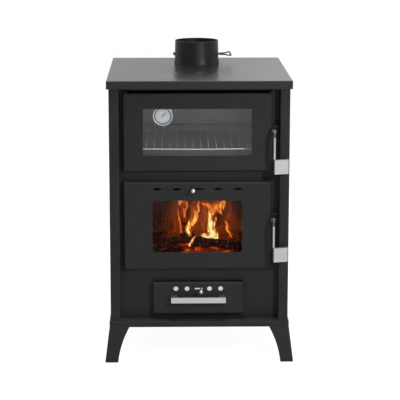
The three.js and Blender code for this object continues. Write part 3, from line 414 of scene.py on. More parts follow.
def charred_bark():
    """Burning wood: black scorched bark, grey ash on top and embers glowing in the cracks."""
    bark = Finish("charred_bark", Metallic=0.0, Specular_IOR_Level=0.04, Roughness=0.9)
    along = bark.node("ShaderNodeUVMap", {"uv_map": "bark"})
    grain = bark.stretched(along, (3, 12, 1))
    crack = bark.cells(2.2, grain, "DISTANCE_TO_EDGE")
    patch = bark.noise(2.0, 4, 0.6, 0.5, grain)
    ash = bark.noise(30, 5, 0.6).between(0.52, 0.72)
    wood = bark.blend(patch, rgb(14, 8, 6), rgb(42, 20, 12))
    bark.set(Base_Color=bark.blend(ash * 0.3, wood, rgb(62, 38, 28)))
    glow = (1 - crack.between(0.01, 0.07)) * patch.between(0.5, 0.72)
    bark.set(Emission_Color=bark.ramp(glow, [
        (0.0, (0, 0, 0, 1)), (0.45, (0.16, 0.008, 0.0, 1)), (1.0, (1.0, 0.16, 0.015, 1))]),
        Emission_Strength=1.1)
    bark.bump(crack.between(0.0, 0.2) * 0.8 + bark.noise(120, 4) * 0.2, 0.004, 0.9)
    return bark.material


def glowing_coals():
    """Embers: ash over red heat that fades away from the middle of the fire."""
    coal = Finish("glowing_coals", Metallic=0.0, Specular_IOR_Level=0.03, Roughness=0.95)
    fine = coal.noise(170, 3, 0.6)
    ash = fine.between(0.5, 0.7)
    middle = 0.008
    aside = coal.math("ABSOLUTE", coal.axis("X") - middle)
    heat = coal.noise(34, 4, 0.6, 0.6) + 0.03 - aside.between(0.035, 0.12) * 0.2
    coal.set(
        Base_Color=coal.blend(ash, rgb(16, 7, 5), rgb(34, 16, 10)),
        Emission_Color=coal.ramp(heat * 0.75 + fine * 0.25, [
            (0.44, (0.004, 0.0, 0.0, 1)), (0.52, (0.16, 0.008, 0.0, 1)),
            (0.6, (0.8, 0.07, 0.004, 1)), (0.7, (1.0, 0.4, 0.06, 1))]),
        Emission_Strength=0.75)
    coal.bump(fine, 0.003, 0.8)
    return coal.material


def flame_light(name, body_at, thickness):
    """A tongue of flame: UV x runs across it and y up it, and x of the burn map is its heat.
    Its middle is full where the breadth reaches body_at; the thickness says how much it hides."""
    fire = Finish(name, Metallic=0.0, Specular_IOR_Level=0.0, Roughness=1.0,
                  Base_Color=(0, 0, 0, 1))
    uv = fire.node("ShaderNodeUVMap", {"uv_map": "flame"})
    across = fire.axis("X", uv)
    up = fire.axis("Y", uv)
    heat = fire.axis("X", fire.node("ShaderNodeUVMap", {"uv_map": "burn"}))
    wisps = fire.noise(1, 4, 0.62, 0.9, fire.place((95, 40, 30)))
    middle = 1 - fire.math("ABSOLUTE", across * 2 - 1, 0)
    streak = wisps.between(0.3, 0.7)
    body = (middle * (0.62 + streak * 0.95) - 0.14).between(0.0, body_at)
    strength = body * (0.45 + streak * 0.75) * (1 - up.between(0.65, 1.0) * 0.9)
    burn = (strength * heat * 1.15).least(1.0)
    fire.set(
        Emission_Color=fire.ramp(burn, [
            (0.0, (0.34, 0.045, 0.003, 1)), (0.22, (0.48, 0.075, 0.005, 1)),
            (0.45, (0.95, 0.2, 0.015, 1)), (0.68, (1.0, 0.5, 0.08, 1)),
            (0.9, (1.0, 0.86, 0.36, 1))]),
        Emission_Strength=1.0,
        Alpha=(strength * heat.between(0.0, 0.6) * thickness).least(0.95))
    fire.material.use_transparent_shadow = True
    return fire.material


PAINT = painted("black_stove_paint", 36, roughness=0.44, grain=1.0, gloss=0.06)
INNER_PAINT = painted("inner_black_paint", 24, roughness=0.6, grain=1.4, gloss=0.06)
FLUE_PAINT = painted("flue_paint", 16, roughness=0.4, grain=0.8, gloss=0.15)
# Near black: painted shade, so the vents in front of the slide read as dark holes.
SLIDE_SHADE_PAINT = painted("air_slide_paint", 8, roughness=0.7, grain=1.0, gloss=0.03)
PLATE = cooktop_steel()
IRON = cast_iron()
OVEN_SHEET = brushed("oven_sheet", 150, 0.42, (500, 4, 500), 0.5, tint=(0, 2, 0), gloss=0.3)
BRIGHT = brushed("bright_steel", 196, 0.3, (400, 12, 400))
NICKEL = brushed("satin_nickel", 172, 0.34, (30, 30, 500))
DARK_STEEL = brushed("dark_steel", 84, 0.36, (300, 12, 12))
PIN_STEEL = brushed("pin_steel", 78, 0.42, (300, 300, 300))
GRIP_STEEL = brushed("grip_steel", 60, 0.55, (300, 12, 12), 0.0, gloss=0.2)
LEVER = lever_steel()
RACK = rack_wire()
CLAY = firebrick_clay()
ROPE = stove_rope()
# The oven glass mirrors more towards the right: painted light, where the oven's inside is lit
# more.
OVEN_GLASS = door_glass("oven_glass", grey(248), mirror=0.016, haze=0.012,
                        mirror_ramp=0.009, axis="X", start=-0.17, end=0.17)
FIRE_GLASS = door_glass("fire_glass", grey(250), mirror=0.0, haze=0.001,
                        mirror_ramp=0.005, axis="Z", start=0.42, end=0.51)
DIAL = plain("dial_enamel", rgb(196, 205, 209), 0.5)
# Dark grey: painted shade in the thermometer's recess, and the ink of the printed numbers.
RECESS_SHADE_AND_PRINT = plain("dial_ring_enamel", rgb(104, 108, 110), 0.55)
BEZEL = brushed("bezel_steel", 205, 0.34, (60, 60, 60), 0.7)
INK = plain("dial_ink", grey(34), 0.6)
BARK = charred_bark()
COALS = glowing_coals()
ASH = plain("wood_ash", rgb(150, 146, 140), 0.95, scale=240, depth=0.0012)
BOLT = brushed("black_bolt", 62, 0.42, (300, 300, 300), 0.8)
FLAME = flame_light("flame_light", body_at=0.8, thickness=1.25)
VEIL = flame_light("flame_veil", body_at=1.9, thickness=1.5)

# What each of the record's slots is finished in, and the pieces that differ from their slot.
SLOT_FINISH = {
    "black_paint": PAINT, "inner_paint": INNER_PAINT, "cooktop_steel": PLATE, "hob_iron": PLATE,
    "cast_iron": IRON, "oven_steel": OVEN_SHEET, "bright_steel": BRIGHT, "nickel": NICKEL,
    "dark_steel": DARK_STEEL, "firebrick": CLAY, "rope": ROPE, "glass": OVEN_GLASS,
    "dial_white": DIAL, "pointer_black": INK,
}
NODE_FINISH = {
    "flue_collar": FLUE_PAINT, "firebox_door_glass": FIRE_GLASS, "oven_rack": RACK,
    "firebox_air_slide": SLIDE_SHADE_PAINT, "firebox_air_knob": NICKEL, "oven_latch_keeper": PAINT,
    "firebox_latch_keeper": PAINT, "damper_rod": GRIP_STEEL, "damper_handle": GRIP_STEEL,
    "damper_nut": FLUE_PAINT, "oven_handle_pin": PIN_STEEL, "firebox_handle_pin": PIN_STEEL,
    "oven_handle_lever": LEVER, "firebox_handle_lever": LEVER,
}


# ---- pieces and bodies

BODY_OF = {node: body for body, nodes in frame["record"]["behaviour"]["bodies"].items()
           for node in nodes}
SLOT_OF = {part["node"]: part["material_slot"] for part in frame["record"]["subparts"]}


def piece(name, mesh, material, body):
    """A finished piece that moves with a body; without a material it keeps its mesh's own."""
    thing = linked(name, mesh)
    if material is not None:
        mesh.materials.clear()
        mesh.materials.append(material)
    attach(thing, body)
    return thing


def finish_of(node):
    return NODE_FINISH.get(node, SLOT_FINISH[SLOT_OF[node]])


def smooth(mesh, degrees):
    """Shades as a curve across every edge that bends less than the degrees."""
    mesh.shade_smooth()
    mesh.set_sharp_from_angle(angle=math.radians(degrees))


def merged_copy(node):
    """The CAD piece's mesh as a mesh of its own, with its loose triangles joined up."""
    mesh = frame["nodes"][node].data.copy()
    work = bmesh.new()
    work.from_mesh(mesh)
    bmesh.ops.remove_doubles(work, verts=work.verts, dist=1e-6)
    work.to_mesh(mesh)
    work.free()
    return mesh


def smoothed(node):
    """Stands for a CAD piece whose curved faces should shade as curves."""
    mesh = merged_copy(node)
    smooth(mesh, 35)
    thing = piece(node + "_smooth", mesh, finish_of(node), BODY_OF[node])
    thing.modifiers.new("even_normals", "WEIGHTED_NORMAL").keep_sharp = True
    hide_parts(node)
    return thing


def dress_frame():
    """Finishes every CAD piece, and puts smooth-shaded ones in place of the curved ones."""
    for node, thing in frame["nodes"].items():
        thing.data.materials.clear()
        thing.data.materials.append(finish_of(node))
    curved = [
        "cooktop_plate", "hob_lid", "flue_collar", "damper_plate", "damper_rod", "damper_nut",
        "left_side_panel", "right_side_panel", "base_plate", "leg_front_left",
        "leg_front_right", "leg_back_left", "leg_back_right", "oven_rack", "oven_door",
        "firebox_door", "ash_drawer_front", "drawer_air_slide", "drawer_air_knob",
        "firebox_air_knob", "thermometer_dial", "oven_handle_pin",
        "firebox_handle_pin", "oven_handle_bracket", "firebox_handle_bracket",
        "oven_handle_lever", "firebox_handle_lever", "oven_hinge_top", "oven_hinge_bottom",
        "firebox_hinge_top", "firebox_hinge_bottom",
    ]
    for node in curved:
        smoothed(node)


def mesh_from(vertices, faces, name, edges=()):
    mesh = bpy.data.meshes.new(name)
    mesh.from_pydata([tuple(point) for point in vertices], edges, faces)
    mesh.update()
    return mesh


def loop_of(points, name):
    """A closed line of edges through the points."""
    count = len(points)
    return mesh_from(points, [], name, [(index, (index + 1) % count) for index in range(count)])


def ring_faces(rings, around):
    """Faces between rings of points that follow each other, and one that closes each end."""
    faces = []
    for ring in range(rings - 1):
        for turn in range(around):
            following = (turn + 1) % around
            faces.append((ring * around + turn, ring * around + following,
                          (ring + 1) * around + following, (ring + 1) * around + turn))
    faces.append(tuple(reversed(range(around))))
    faces.append(tuple((rings - 1) * around + turn for turn in range(around)))
    return faces


def outward(mesh):
    """The mesh with its doubled points merged and its faces turned outwards."""
    work = bmesh.new()
    work.from_mesh(mesh)
    bmesh.ops.remove_doubles(work, verts=work.verts, dist=1e-7)
    bmesh.ops.recalc_face_normals(work, faces=work.faces)
    work.to_mesh(mesh)
    work.free()
    return mesh


# ---- oven thermometer

DIAL_START = -150.0  # where the scale begins, in degrees from the top
TICK_STEP = 25 / 3
TICKS_PER_NUMBER = 5
NUMBERS = (50, 100, 150, 200, 250, 300)


def turned(name, profile, centre):
    """A closed outline of (radius, y) in millimetres, turned about a line along Y."""
    around = 96
    count = len(profile)
    vertices, faces = [], []
    for step in range(around):
        angle = math.tau * step / around
        here, there = step * count, (step + 1) % around * count
        for index, (radius, y) in enumerate(profile):
            vertices.append((centre.x + radius / 1000 * math.cos(angle), y / 1000,
                             centre.z + radius / 1000 * math.sin(angle)))
            following = (index + 1) % count
            faces.append((here + index, here + following, there + following, there + index))
    mesh = outward(mesh_from(vertices, faces, name))
    smooth(mesh, 40)
    return mesh


def tick_maker():
    """Bars round a dial that faces -Y, from the seed bar; every fifth one is longer."""
    dial = Maker("dial_ticks", count=len(NUMBERS) * TICKS_PER_NUMBER + 1, first=DIAL_START,
                 step=TICK_STEP, ring=0.0174, centre_x=0.0, centre_y=0.0, centre_z=0.0)
    wider, longer = 0.6, 0.7
    index = Value(dial, dial.node("GeometryNodeInputIndex").outputs[0])
    angle = (dial.size("first") + dial.size("step") * index) * (math.pi / 180)
    spot = dial.vector(dial.size("centre_x") + dial.math("SINE", angle) * dial.size("ring"),
                       dial.size("centre_y"),
                       dial.size("centre_z") + dial.math("COSINE", angle) * dial.size("ring"))
    line = dial.node("GeometryNodeMeshLine", None, {"Count": dial.size("count")})
    ring = dial.node("GeometryNodeSetPosition", None,
                     {"Geometry": line, "Position": spot})
    long = dial.math("LESS_THAN", dial.math("MODULO", index, float(TICKS_PER_NUMBER)), 0.5)
    bars = dial.node("GeometryNodeInstanceOnPoints", None, {
        "Points": ring, "Instance": dial.seed(),
        "Rotation": dial.vector(0.0, angle, 0.0),
        "Scale": dial.vector(1 + long * wider, 1.0, 1 + long * longer)})
    return dial.ends_in(bars, INK)


def bar_mesh(name, width, thick, length):
    """A little bar on the origin, its ends rounded."""
    bulge, steps = 0.6, 6
    outline = [(width / 2 * math.cos(angle),
                length / 2 * sign + width / 2 * math.sin(angle) * bulge)
               for sign, start in ((1, 0), (-1, math.pi))
               for angle in (start + math.pi * step / steps for step in range(steps + 1))]
    count = len(outline)
    vertices = [(x, y, z) for y in (-thick / 2, thick / 2) for x, z in outline]
    faces = [tuple(range(count)), tuple(range(2 * count - 1, count - 1, -1))]
    faces += [(index, (index + 1) % count, count + (index + 1) % count, count + index)
              for index in range(count)]
    return outward(mesh_from(vertices, faces, name))


def dial_numbers(centre, face):
    """The scale's numbers as one thin mesh on the dial's face."""
    reach, height, thickness, lift = 0.0143, 0.0029, 0.00008, 0.0001
    work = bmesh.new()
    for place, number in enumerate(NUMBERS, 1):
        words = bpy.data.curves.new("number", "FONT")
        words.body = str(number)
        words.size = height
        words.extrude = thickness
        words.align_x = "CENTER"
        words.align_y = "CENTER"
        words.resolution_u = 3
        sign = linked("number", words)
        flat = bpy.data.meshes.new_from_object(
            sign.evaluated_get(bpy.context.evaluated_depsgraph_get()))
        angle = math.radians(DIAL_START + TICK_STEP * TICKS_PER_NUMBER * place)
        spot = (centre.x + reach * math.sin(angle), face - lift,
                centre.z + reach * math.cos(angle))
        flat.transform(Matrix.Translation(spot) @ Matrix.Rotation(math.radians(90), 4, "X"))
        work.from_mesh(flat)
        bpy.data.objects.remove(sign)
    bmesh.ops.remove_doubles(work, verts=work.verts, dist=1e-6)
    bmesh.ops.recalc_face_normals(work, faces=work.faces)
    mesh = bpy.data.meshes.new("thermometer_numbers")
    work.to_mesh(mesh)
    work.free()
    return mesh


def fit_thermometer():
    """Case, rings, ticks and numbers, in outlines of (radius, y) in millimetres."""
    centre = middle_of("thermometer_dial")
    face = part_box("thermometer_dial")[0][1]
    case = turned("thermometer_bezel", [
        (0, -240), (29.7, -240), (30.5, -240.8), (30.5, -252.4), (30.1, -254.1), (29.3, -254.9),
        (28.4, -255), (27.5, -254.6), (26.8, -253.5), (26.4, -252), (26.3, -249),
        (0, -249)], centre)
    bezel = piece("thermometer_bezel", case, BEZEL, "oven_door")
    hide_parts("thermometer_case")
    # The recess behind the dial's rim is dark grey: painted shade in the recess.
    shaded_recess = turned("thermometer_recess_shade", [
        (21.2, -249.02), (26.2, -249.02), (26.2, -249.5), (21.2, -249.5)], centre)
    piece("thermometer_recess_shade", shaded_recess, RECESS_SHADE_AND_PRINT, "oven_door")
    rim = turned("thermometer_dial_rim", [
        (19.4, -250.52), (22.2, -250.52), (22.3, -251), (21.9, -251.5), (21.2, -251.6),
        (20.2, -251.4), (19.4, -250.9)], centre)
    piece("thermometer_dial_rim", rim, DIAL, "oven_door")
    tick = bar_mesh("tick", width=0.0005, thick=0.00016, length=0.0014)
    tick_maker().grow("thermometer_ticks", tick, "oven_door", "pointer_black",
                      centre_x=centre.x, centre_y=face - 0.0001, centre_z=centre.z)
    piece("thermometer_numbers", dial_numbers(centre, face), RECESS_SHADE_AND_PRINT, "oven_door")


# ---- ropes and bolts

def rope_maker():
    """Three twisted strands along a closed line that lies in a plane facing -Y."""
    rope = Maker("rope_gasket", strand=0.0013, wide=0.0027, deep=0.001, turns=96, steps=8)
    line = rope.node("GeometryNodeMeshToCurve", None, {"Mesh": rope.seed()})
    even = rope.node("GeometryNodeResampleCurve", {"mode": "COUNT"}, {
        "Curve": line, "Count": rope.size("turns") * rope.size("steps")})
    along = Value(rope, rope.node("GeometryNodeSplineParameter").outputs["Factor"])
    tangent = rope.node("GeometryNodeInputTangent")
    across = rope.node("ShaderNodeVectorMath", {"operation": "CROSS_PRODUCT"},
                       {0: tangent, 1: (0, 1, 0)})
    sheath = rope.node("GeometryNodeCurvePrimitiveCircle", None,
                       {"Resolution": 6, "Radius": rope.size("strand")})
    joined = rope.node("GeometryNodeJoinGeometry")
    for strand in range(3):
        angle = (along * rope.size("turns") + strand / 3) * math.tau
        sideways = rope.node("ShaderNodeVectorMath", {"operation": "SCALE"}, {
            0: across, "Scale": rope.math("COSINE", angle) * rope.size("wide")})
        inward = rope.vector(0.0, rope.math("SINE", angle) * rope.size("deep"), 0.0)
        offset = rope.node("ShaderNodeVectorMath", {"operation": "ADD"},
                           {0: sideways, 1: inward})
        wound = rope.node("GeometryNodeSetPosition", None,
                          {"Geometry": even, "Offset": offset})
        tube = rope.node("GeometryNodeCurveToMesh", None,
                         {"Curve": wound, "Profile Curve": sheath})
        rope.feed(joined.inputs[0], tube)
    return rope.ends_in(joined, ROPE)


def rounded_loop(low, high, inset, radius, y):
    """Points round a rectangle in the X-Z plane, inside the box from low to high."""
    steps = 6
    left, right = low[0] + inset + radius, high[0] - inset - radius
    bottom, top = low[2] + inset + radius, high[2] - inset - radius
    corners = [(right, top, 0), (left, top, 90), (left, bottom, 180), (right, bottom, 270)]
    return [(x + radius * math.cos(math.radians(start + 90 * step / steps)), y,
             z + radius * math.sin(math.radians(start + 90 * step / steps)))
            for x, z, start in corners for step in range(steps + 1)]


def lay_ropes():
    """A twisted rope in place of each door's plain gasket."""
    maker = rope_maker()
    pitch, inset, corner = 0.0145, 0.004, 0.007
    for door in ("oven_door", "firebox_door"):
        low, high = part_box(door + "_gasket")
        loop = rounded_loop(low, high, inset, corner, (low[1] + high[1]) / 2)
        length = 2 * (high[0] - low[0] + high[2] - low[2])
        rope = maker.grow(door + "_rope", loop_of(loop, door + "_rope_line"), door, "rope",
                          turns=round(length / pitch))
        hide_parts(door + "_gasket")


def bolt_maker():
    """A hexagon head on a washer at each of the seed's points, facing +Y."""
    bolt = Maker("hexagon_bolts", head=0.0045, head_height=0.0026,
                 washer=0.0062, washer_height=0.0009)
    straight, crown = 0.8, 0.82  # shares: how high the head's sides go, and how wide its top is

    def stacked(kind, inputs, height):
        shape = bolt.node(kind, None, inputs)
        return bolt.node("GeometryNodeTransform", None, {
            "Geometry": shape, "Translation": bolt.vector(0.0, 0.0, height)})

    low = bolt.size("washer_height")
    high = bolt.size("head_height")
    head = bolt.size("head")
    parts = [
        stacked("GeometryNodeMeshCylinder",
                {"Vertices": 24, "Radius": bolt.size("washer"), "Depth": low}, low * 0.5),
        stacked("GeometryNodeMeshCylinder",
                {"Vertices": 6, "Radius": head, "Depth": high * straight},
                low + high * (straight / 2)),
        stacked("GeometryNodeMeshCone",
                {"Vertices": 6, "Radius Top": head * crown, "Radius Bottom": head,
                 "Depth": high * (1 - straight)}, low + high * straight),
    ]
    joined = bolt.node("GeometryNodeJoinGeometry")
    for part in parts:
        bolt.feed(joined.inputs[0], part)
    heads = bolt.node("GeometryNodeInstanceOnPoints", None, {
        "Points": bolt.seed(), "Instance": joined,
        "Rotation": bolt.vector(-math.pi / 2, 0.0, 0.0)})
    return bolt.ends_in(heads, BOLT)


def drive_bolts():
    """Bolts round the back panel and, smaller, on the frames that hold the doors' glass."""
    maker = bolt_maker()
    panel_edge, frame_edge, between, gaps = 0.012, 0.0075, 0.09, 4
    low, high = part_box("back_panel")
    run = high[2] - low[2] - 2 * panel_edge
    rows = [low[2] + panel_edge + run * step / gaps for step in range(gaps + 1)]
    places = [(x, high[1], z) for x in (low[0] + panel_edge, high[0] - panel_edge) for z in rows]
    places += [(x, high[1], z) for x in (-between, between) for z in (rows[0], rows[-1])]
    maker.grow("back_panel_bolts", mesh_from(places, [], "back_bolt_places"), "stove",
               "dark_steel")
    for door in ("oven", "firebox"):
        low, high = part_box(door + "_glass_frame")
        middle = (low[0] + high[0]) / 2
        places = [(x, high[1], z) for x in (low[0] + frame_edge, middle, high[0] - frame_edge)
                  for z in (low[2] + frame_edge, high[2] - frame_edge)]
        maker.grow(door + "_frame_bolts", mesh_from(places, [], door + "_bolt_places"),
                   door + "_door", "dark_steel", head=0.0026, head_height=0.0016,
                   washer=0.0036, washer_height=0.0006)


# ---- damper grip

def curve_through(points, steps):
    """Points along a smooth curve through the given ones; each point is a tuple of any length."""
    padded = [points[0]] + list(points) + [points[-1]]
    result = []
    for index in range(1, len(padded) - 2):
        before, start, end, after = padded[index - 1:index + 3]
        for step in range(steps):
            share = step / steps
            result.append(tuple(
                0.5 * (2 * b + (c - a) * share + (2 * a - 5 * b + 4 * c - d) * share ** 2
                       + (3 * b - a - 3 * c + d) * share ** 3)
                for a, b, c, d in zip(before, start, end, after)))
    result.append(tuple(points[-1]))
    return result


def grip_maker():
    """A round wire along the seed's closed line, its ends held in a sleeve that lies along X."""
    grip = Maker("bent_grip", wire=0.0046, sleeve=0.0047, start=0.0, end=0.01,
                 centre_y=0.0, centre_z=0.0)
    line = grip.node("GeometryNodeMeshToCurve", None, {"Mesh": grip.seed()})
    section = grip.node("GeometryNodeCurvePrimitiveCircle", None,
                        {"Resolution": 12, "Radius": grip.size("wire") * 0.5})
    loop = grip.node("GeometryNodeCurveToMesh", None,
                     {"Curve": line, "Profile Curve": section})
    start, end = grip.size("start"), grip.size("end")
    tube = grip.node("GeometryNodeMeshCylinder", None,
                     {"Vertices": 24, "Radius": grip.size("sleeve"), "Depth": end - start})
    laid = grip.node("GeometryNodeTransform", None, {
        "Geometry": tube, "Rotation": (0, math.pi / 2, 0),
        "Translation": grip.vector((start + end) * 0.5, grip.size("centre_y"),
                                   grip.size("centre_z"))})
    joined = grip.node("GeometryNodeJoinGeometry")
    for part in (loop, laid):
        grip.feed(joined.inputs[0], part)
    return grip.ends_in(joined, GRIP_STEEL)


def bend_grip():
    """The damper's wire grip; its bends are (x, z) in millimetres from the end of the rod."""
    rod_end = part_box("damper_handle")[0][0]
    centre = middle_of("damper_handle")
    bends = [(1.8, 2.3), (8, 2.5), (20.5, 6.2), (23, 6.5), (24.8, 5.2), (29, -3), (29.2, -4.8),
             (27.4, -5.5), (8, -2.5), (1.8, -2.3)]
    line = [(rod_end + x / 1000, centre.y, centre.z + z / 1000)
            for x, z in curve_through(bends, 5)]
    grip = grip_maker().grow(
        "damper_grip", loop_of(line, "grip_line"), "flue_damper", "dark_steel",
        start=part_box("flue_collar")[1][0] + 0.0008, end=rod_end + 0.004,
        centre_y=centre.y, centre_z=centre.z)
    smooth(grip.data, 40)
    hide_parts("damper_handle")


# ---- the fire

def flame_tongue(name, depth, heat, stations):
    """A closed tongue of flame through stations of (x, z, half width) in millimetres."""
    line = curve_through(stations, 7)
    around, flatness, drift, waving = 12, 0.4, 5, 0.33
    vertices, uvs = [], []
    count = len(line)
    for index, (x, z, half) in enumerate(line):
        ahead = line[min(index + 1, count - 1)]
        behind = line[max(index - 1, 0)]
        way = Vector((ahead[0] - behind[0], 0, ahead[1] - behind[1])).normalized()
        side = Vector((way.z, 0, -way.x))
        sway = drift * math.sin(index * waving + depth)
        centre = Vector((x, depth + sway, z))
        for turn in range(around):
            angle = math.tau * turn / around
            inward = Vector((0, half * flatness * math.sin(angle), 0))
            vertices.append((centre + side * (half * math.cos(angle)) + inward) / 1000)
            uvs.append(((math.cos(angle) + 1) / 2, index / (count - 1)))
    mesh = mesh_from(vertices, ring_faces(count, around), name)
    flow = mesh.uv_layers.new(name="flame")
    for loop in mesh.loops:
        flow.data[loop.index].uv = uvs[loop.vertex_index]
    burn = mesh.uv_layers.new(name="burn")
    for loop in mesh.loops:
        burn.data[loop.index].uv = (heat, 0.5)
    outward(mesh).shade_smooth()
    soft = "veil" in name or "back_glow" in name
    piece(name, mesh, VEIL if soft else FLAME, "stove")


# Each tongue: depth, heat, then (x, z, half width) from its root upwards, in millimetres.
FLAMES = {
    "main": (-150, 1.0, [
        (40, 352, 25), (42, 372, 25), (40, 392, 19), (38, 412, 14), (35, 432, 11), (34, 448, 7),
        (33, 462, 1.5)]),
    "main_root_left": (-156, 0.95, [(30, 360, 22), (16, 372, 12), (5, 374, 2)]),
    "main_root_right": (-154, 0.95, [(55, 356, 15), (58, 370, 9), (60, 384, 1.5)]),
    "main_spur": (-148, 0.8, [(46, 395, 5), (52, 410, 6), (56, 422, 4), (52, 432, 1)]),
    "main_veil": (-128, 0.42, [
        (36, 350, 42), (40, 385, 40), (38, 420, 32), (46, 450, 32), (58, 478, 26), (64, 500, 6)]),
    "main_crest": (-140, 0.52, [
        (36, 425, 10), (42, 445, 17), (56, 458, 20), (70, 470, 15), (84, 482, 7), (92, 494, 1)]),
    "hanging_curl": (-136, 0.55, [
        (74, 434, 3), (70, 446, 11), (76, 462, 13), (82, 478, 9), (86, 490, 2)]),
    "crest_left": (-138, 0.42, [(38, 448, 8), (32, 464, 10), (18, 470, 7), (4, 472, 1.5)]),
    "left": (-158, 0.88, [
        (-24, 340, 4), (-22, 356, 8), (-28, 376, 9), (-36, 392, 9), (-31, 408, 8), (-30, 422, 3),
        (-31, 428, 1)]),
    "left_arm": (-150, 0.6, [
        (-30, 392, 7), (-20, 410, 11), (-9, 426, 12), (-7, 440, 9), (-14, 452, 5),
        (-22, 460, 1)]),
    "left_veil": (-132, 0.36, [
        (-24, 350, 24), (-26, 380, 30), (-18, 412, 30), (-12, 440, 28), (-12, 468, 24),
        (-8, 500, 6)]),
    "upper_veil": (-120, 0.3, [(-40, 410, 14), (-48, 440, 24), (-50, 470, 28), (-44, 500, 12)]),
    "left_crest": (-144, 0.5, [
        (-8, 430, 8), (0, 448, 7), (-2, 464, 7), (2, 480, 6), (6, 494, 1.5)]),
    "streak": (-130, 0.4, [
        (-54, 372, 5), (-57, 395, 6), (-61, 420, 5), (-65, 446, 2), (-66, 454, 0.8)]),
    "upper_blob": (-128, 0.5, [
        (-60, 462, 4), (-58, 472, 10), (-50, 484, 11), (-40, 492, 6), (-34, 500, 1)]),
    "upper_wisp": (-126, 0.38, [
        (-44, 424, 3), (-42, 445, 6), (-36, 464, 7), (-42, 480, 6), (-46, 494, 1)]),
    "right_wisp": (-132, 0.4, [
        (106, 360, 3), (99, 374, 5), (90, 388, 7), (92, 400, 5), (84, 412, 4), (78, 418, 1)]),
    "low_left": (-176, 0.8, [
        (-88, 332, 2), (-92, 344, 7), (-88, 358, 6), (-74, 368, 5), (-60, 376, 1)]),
    "low_middle": (-174, 0.85, [
        (-27, 332, 2), (-28, 346, 7), (-20, 360, 7), (-12, 370, 4), (-8, 378, 1)]),
    "back_glow": (-90, 0.3, [
        (26, 345, 70), (24, 385, 70), (20, 420, 60), (24, 455, 48), (30, 500, 20)]),
    "back_glow_right": (-84, 0.24, [
        (84, 340, 66), (96, 372, 66), (100, 405, 54), (98, 440, 40), (94, 490, 12)]),
    "back_glow_left": (-84, 0.2, [
        (-66, 340, 70), (-74, 372, 72), (-76, 410, 62), (-70, 450, 46), (-66, 490, 14)]),
}


def log_of_wood(name, start, end, radius, seed):
    """A split log from one end to the other, in millimetres, lumpy and charred."""
    rings, around = 26, 28
    bow, flattened, knots, bumps = 5, 0.2, 0.16, 0.05
    end_taper, tapered_from = 0.45, 0.92
    start, end = Vector(start), Vector(end)
    along = (end - start).normalized()
    across = along.cross(Vector((0, 0, 1))).normalized()
    upward = across.cross(along)
    vertices, uvs = [], []
    for ring in range(rings + 1):
        share = ring / rings
        centre = start.lerp(end, share) + upward * (bow * math.sin(share * 4 + seed))
        past = max(0, abs(share - 0.5) * 2 - tapered_from)
        taper = 1 - end_taper * past / (1 - tapered_from)
        for turn in range(around):
            angle = math.tau * turn / around
            spot = Vector((math.cos(angle) * 1.3, math.sin(angle) * 1.3, share * 5 + seed * 7))
            flat = 1 - flattened * max(0.0, math.cos(angle + seed)) ** 2
            lumps = 1 + knots * noise.noise(spot) + bumps * noise.noise(spot * 4)
            reach = radius * flat * taper * lumps
            vertices.append((centre + across * (reach * math.cos(angle))
                             + upward * (reach * math.sin(angle))) / 1000)
            uvs.append((turn / around, share))
    mesh = mesh_from(vertices, ring_faces(rings + 1, around), name)
    layer = mesh.uv_layers.new(name="bark")
    for polygon in mesh.polygons:
        corners = [uvs[mesh.loops[index].vertex_index] for index in polygon.loop_indices]
        wraps = max(u for u, _ in corners) - min(u for u, _ in corners) > 0.5
        for index, (u, v) in zip(polygon.loop_indices, corners):
            layer.data[index].uv = (u + 1 if wraps and u < 0.5 else u, v)
    smooth(outward(mesh), 50)
    piece(name, mesh, BARK, "stove")


def heap(name, left, right, front, back, base, height, material, body):
    """A closed mound on the flat at base; height(x, y, edge) says how tall it stands, where
    edge runs from 0 at the rim to 1 inside."""
    columns, rows, rim_columns, rim_rows, thinnest = 60, 44, 8, 6, 0.0012
    vertices, faces = [], []
    for row in range(rows + 1):
        for column in range(columns + 1):
            x = left + (right - left) * column / columns
            y = front + (back - front) * row / rows
            edge = (min(1, min(column, columns - column) / rim_columns)
                    * min(1, min(row, rows - row) / rim_rows))
            vertices.append((x, y, base + thinnest + height(x, y, edge)))
    count = len(vertices)
    vertices += [(x, y, base) for x, y, _ in vertices]
    wide = columns + 1
    for row in range(rows):
        for column in range(columns):
            a = row * wide + column
            faces.append((a, a + 1, a + wide + 1, a + wide))
            faces.append((count + a, count + a + wide, count + a + wide + 1, count + a + 1))
    border = (list(range(columns))
              + [columns + row * wide for row in range(rows)]
              + [rows * wide + column for column in range(columns, 0, -1)]
              + [row * wide for row in range(rows, 0, -1)])
    for index, here in enumerate(border):
        following = border[(index + 1) % len(border)]
        faces.append((here, count + here, count + following, following))
    mesh = outward(mesh_from(vertices, faces, name))
    smooth(mesh, 60)
    piece(name, mesh, material, body)


def coal_bed():
    """Embers heaped on the grate."""
    low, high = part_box("fire_grate")

    def lumps(x, y, edge):
        lump = 0.5 + 0.5 * noise.noise(Vector((x * 60, y * 60, 3)))
        return edge * (0.006 + 0.014 * lump + 0.005 * noise.noise(Vector((x * 170, y * 170, 9))))

    heap("ember_bed", low[0] - 0.055, high[0] + 0.06, low[1] - 0.03, high[1] + 0.02,
         high[2] + 0.0004, lumps, COALS, "stove")


def ash_heap():
    """Ash that has dropped through the grate into the drawer's tray."""
    low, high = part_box("ash_drawer_tray")
    grate = middle_of("fire_grate")

    def drift(x, y, edge):
        away = min(1.0, math.hypot((x - grate.x) / 0.12, (y - grate.y) / 0.17))
        soft = 0.5 + 0.5 * math.cos(math.pi * away)
        return edge * (0.003 + 0.016 * soft + 0.003 * noise.noise(Vector((x * 45, y * 45, 1)))
                       + 0.001 * noise.noise(Vector((x * 240, y * 240, 4))))

    heap("ash_heap", low[0] + 0.004, high[0] - 0.004, low[1] + 0.02, high[1] - 0.03,
         low[2] + 0.0017, drift, ASH, "ash_drawer")


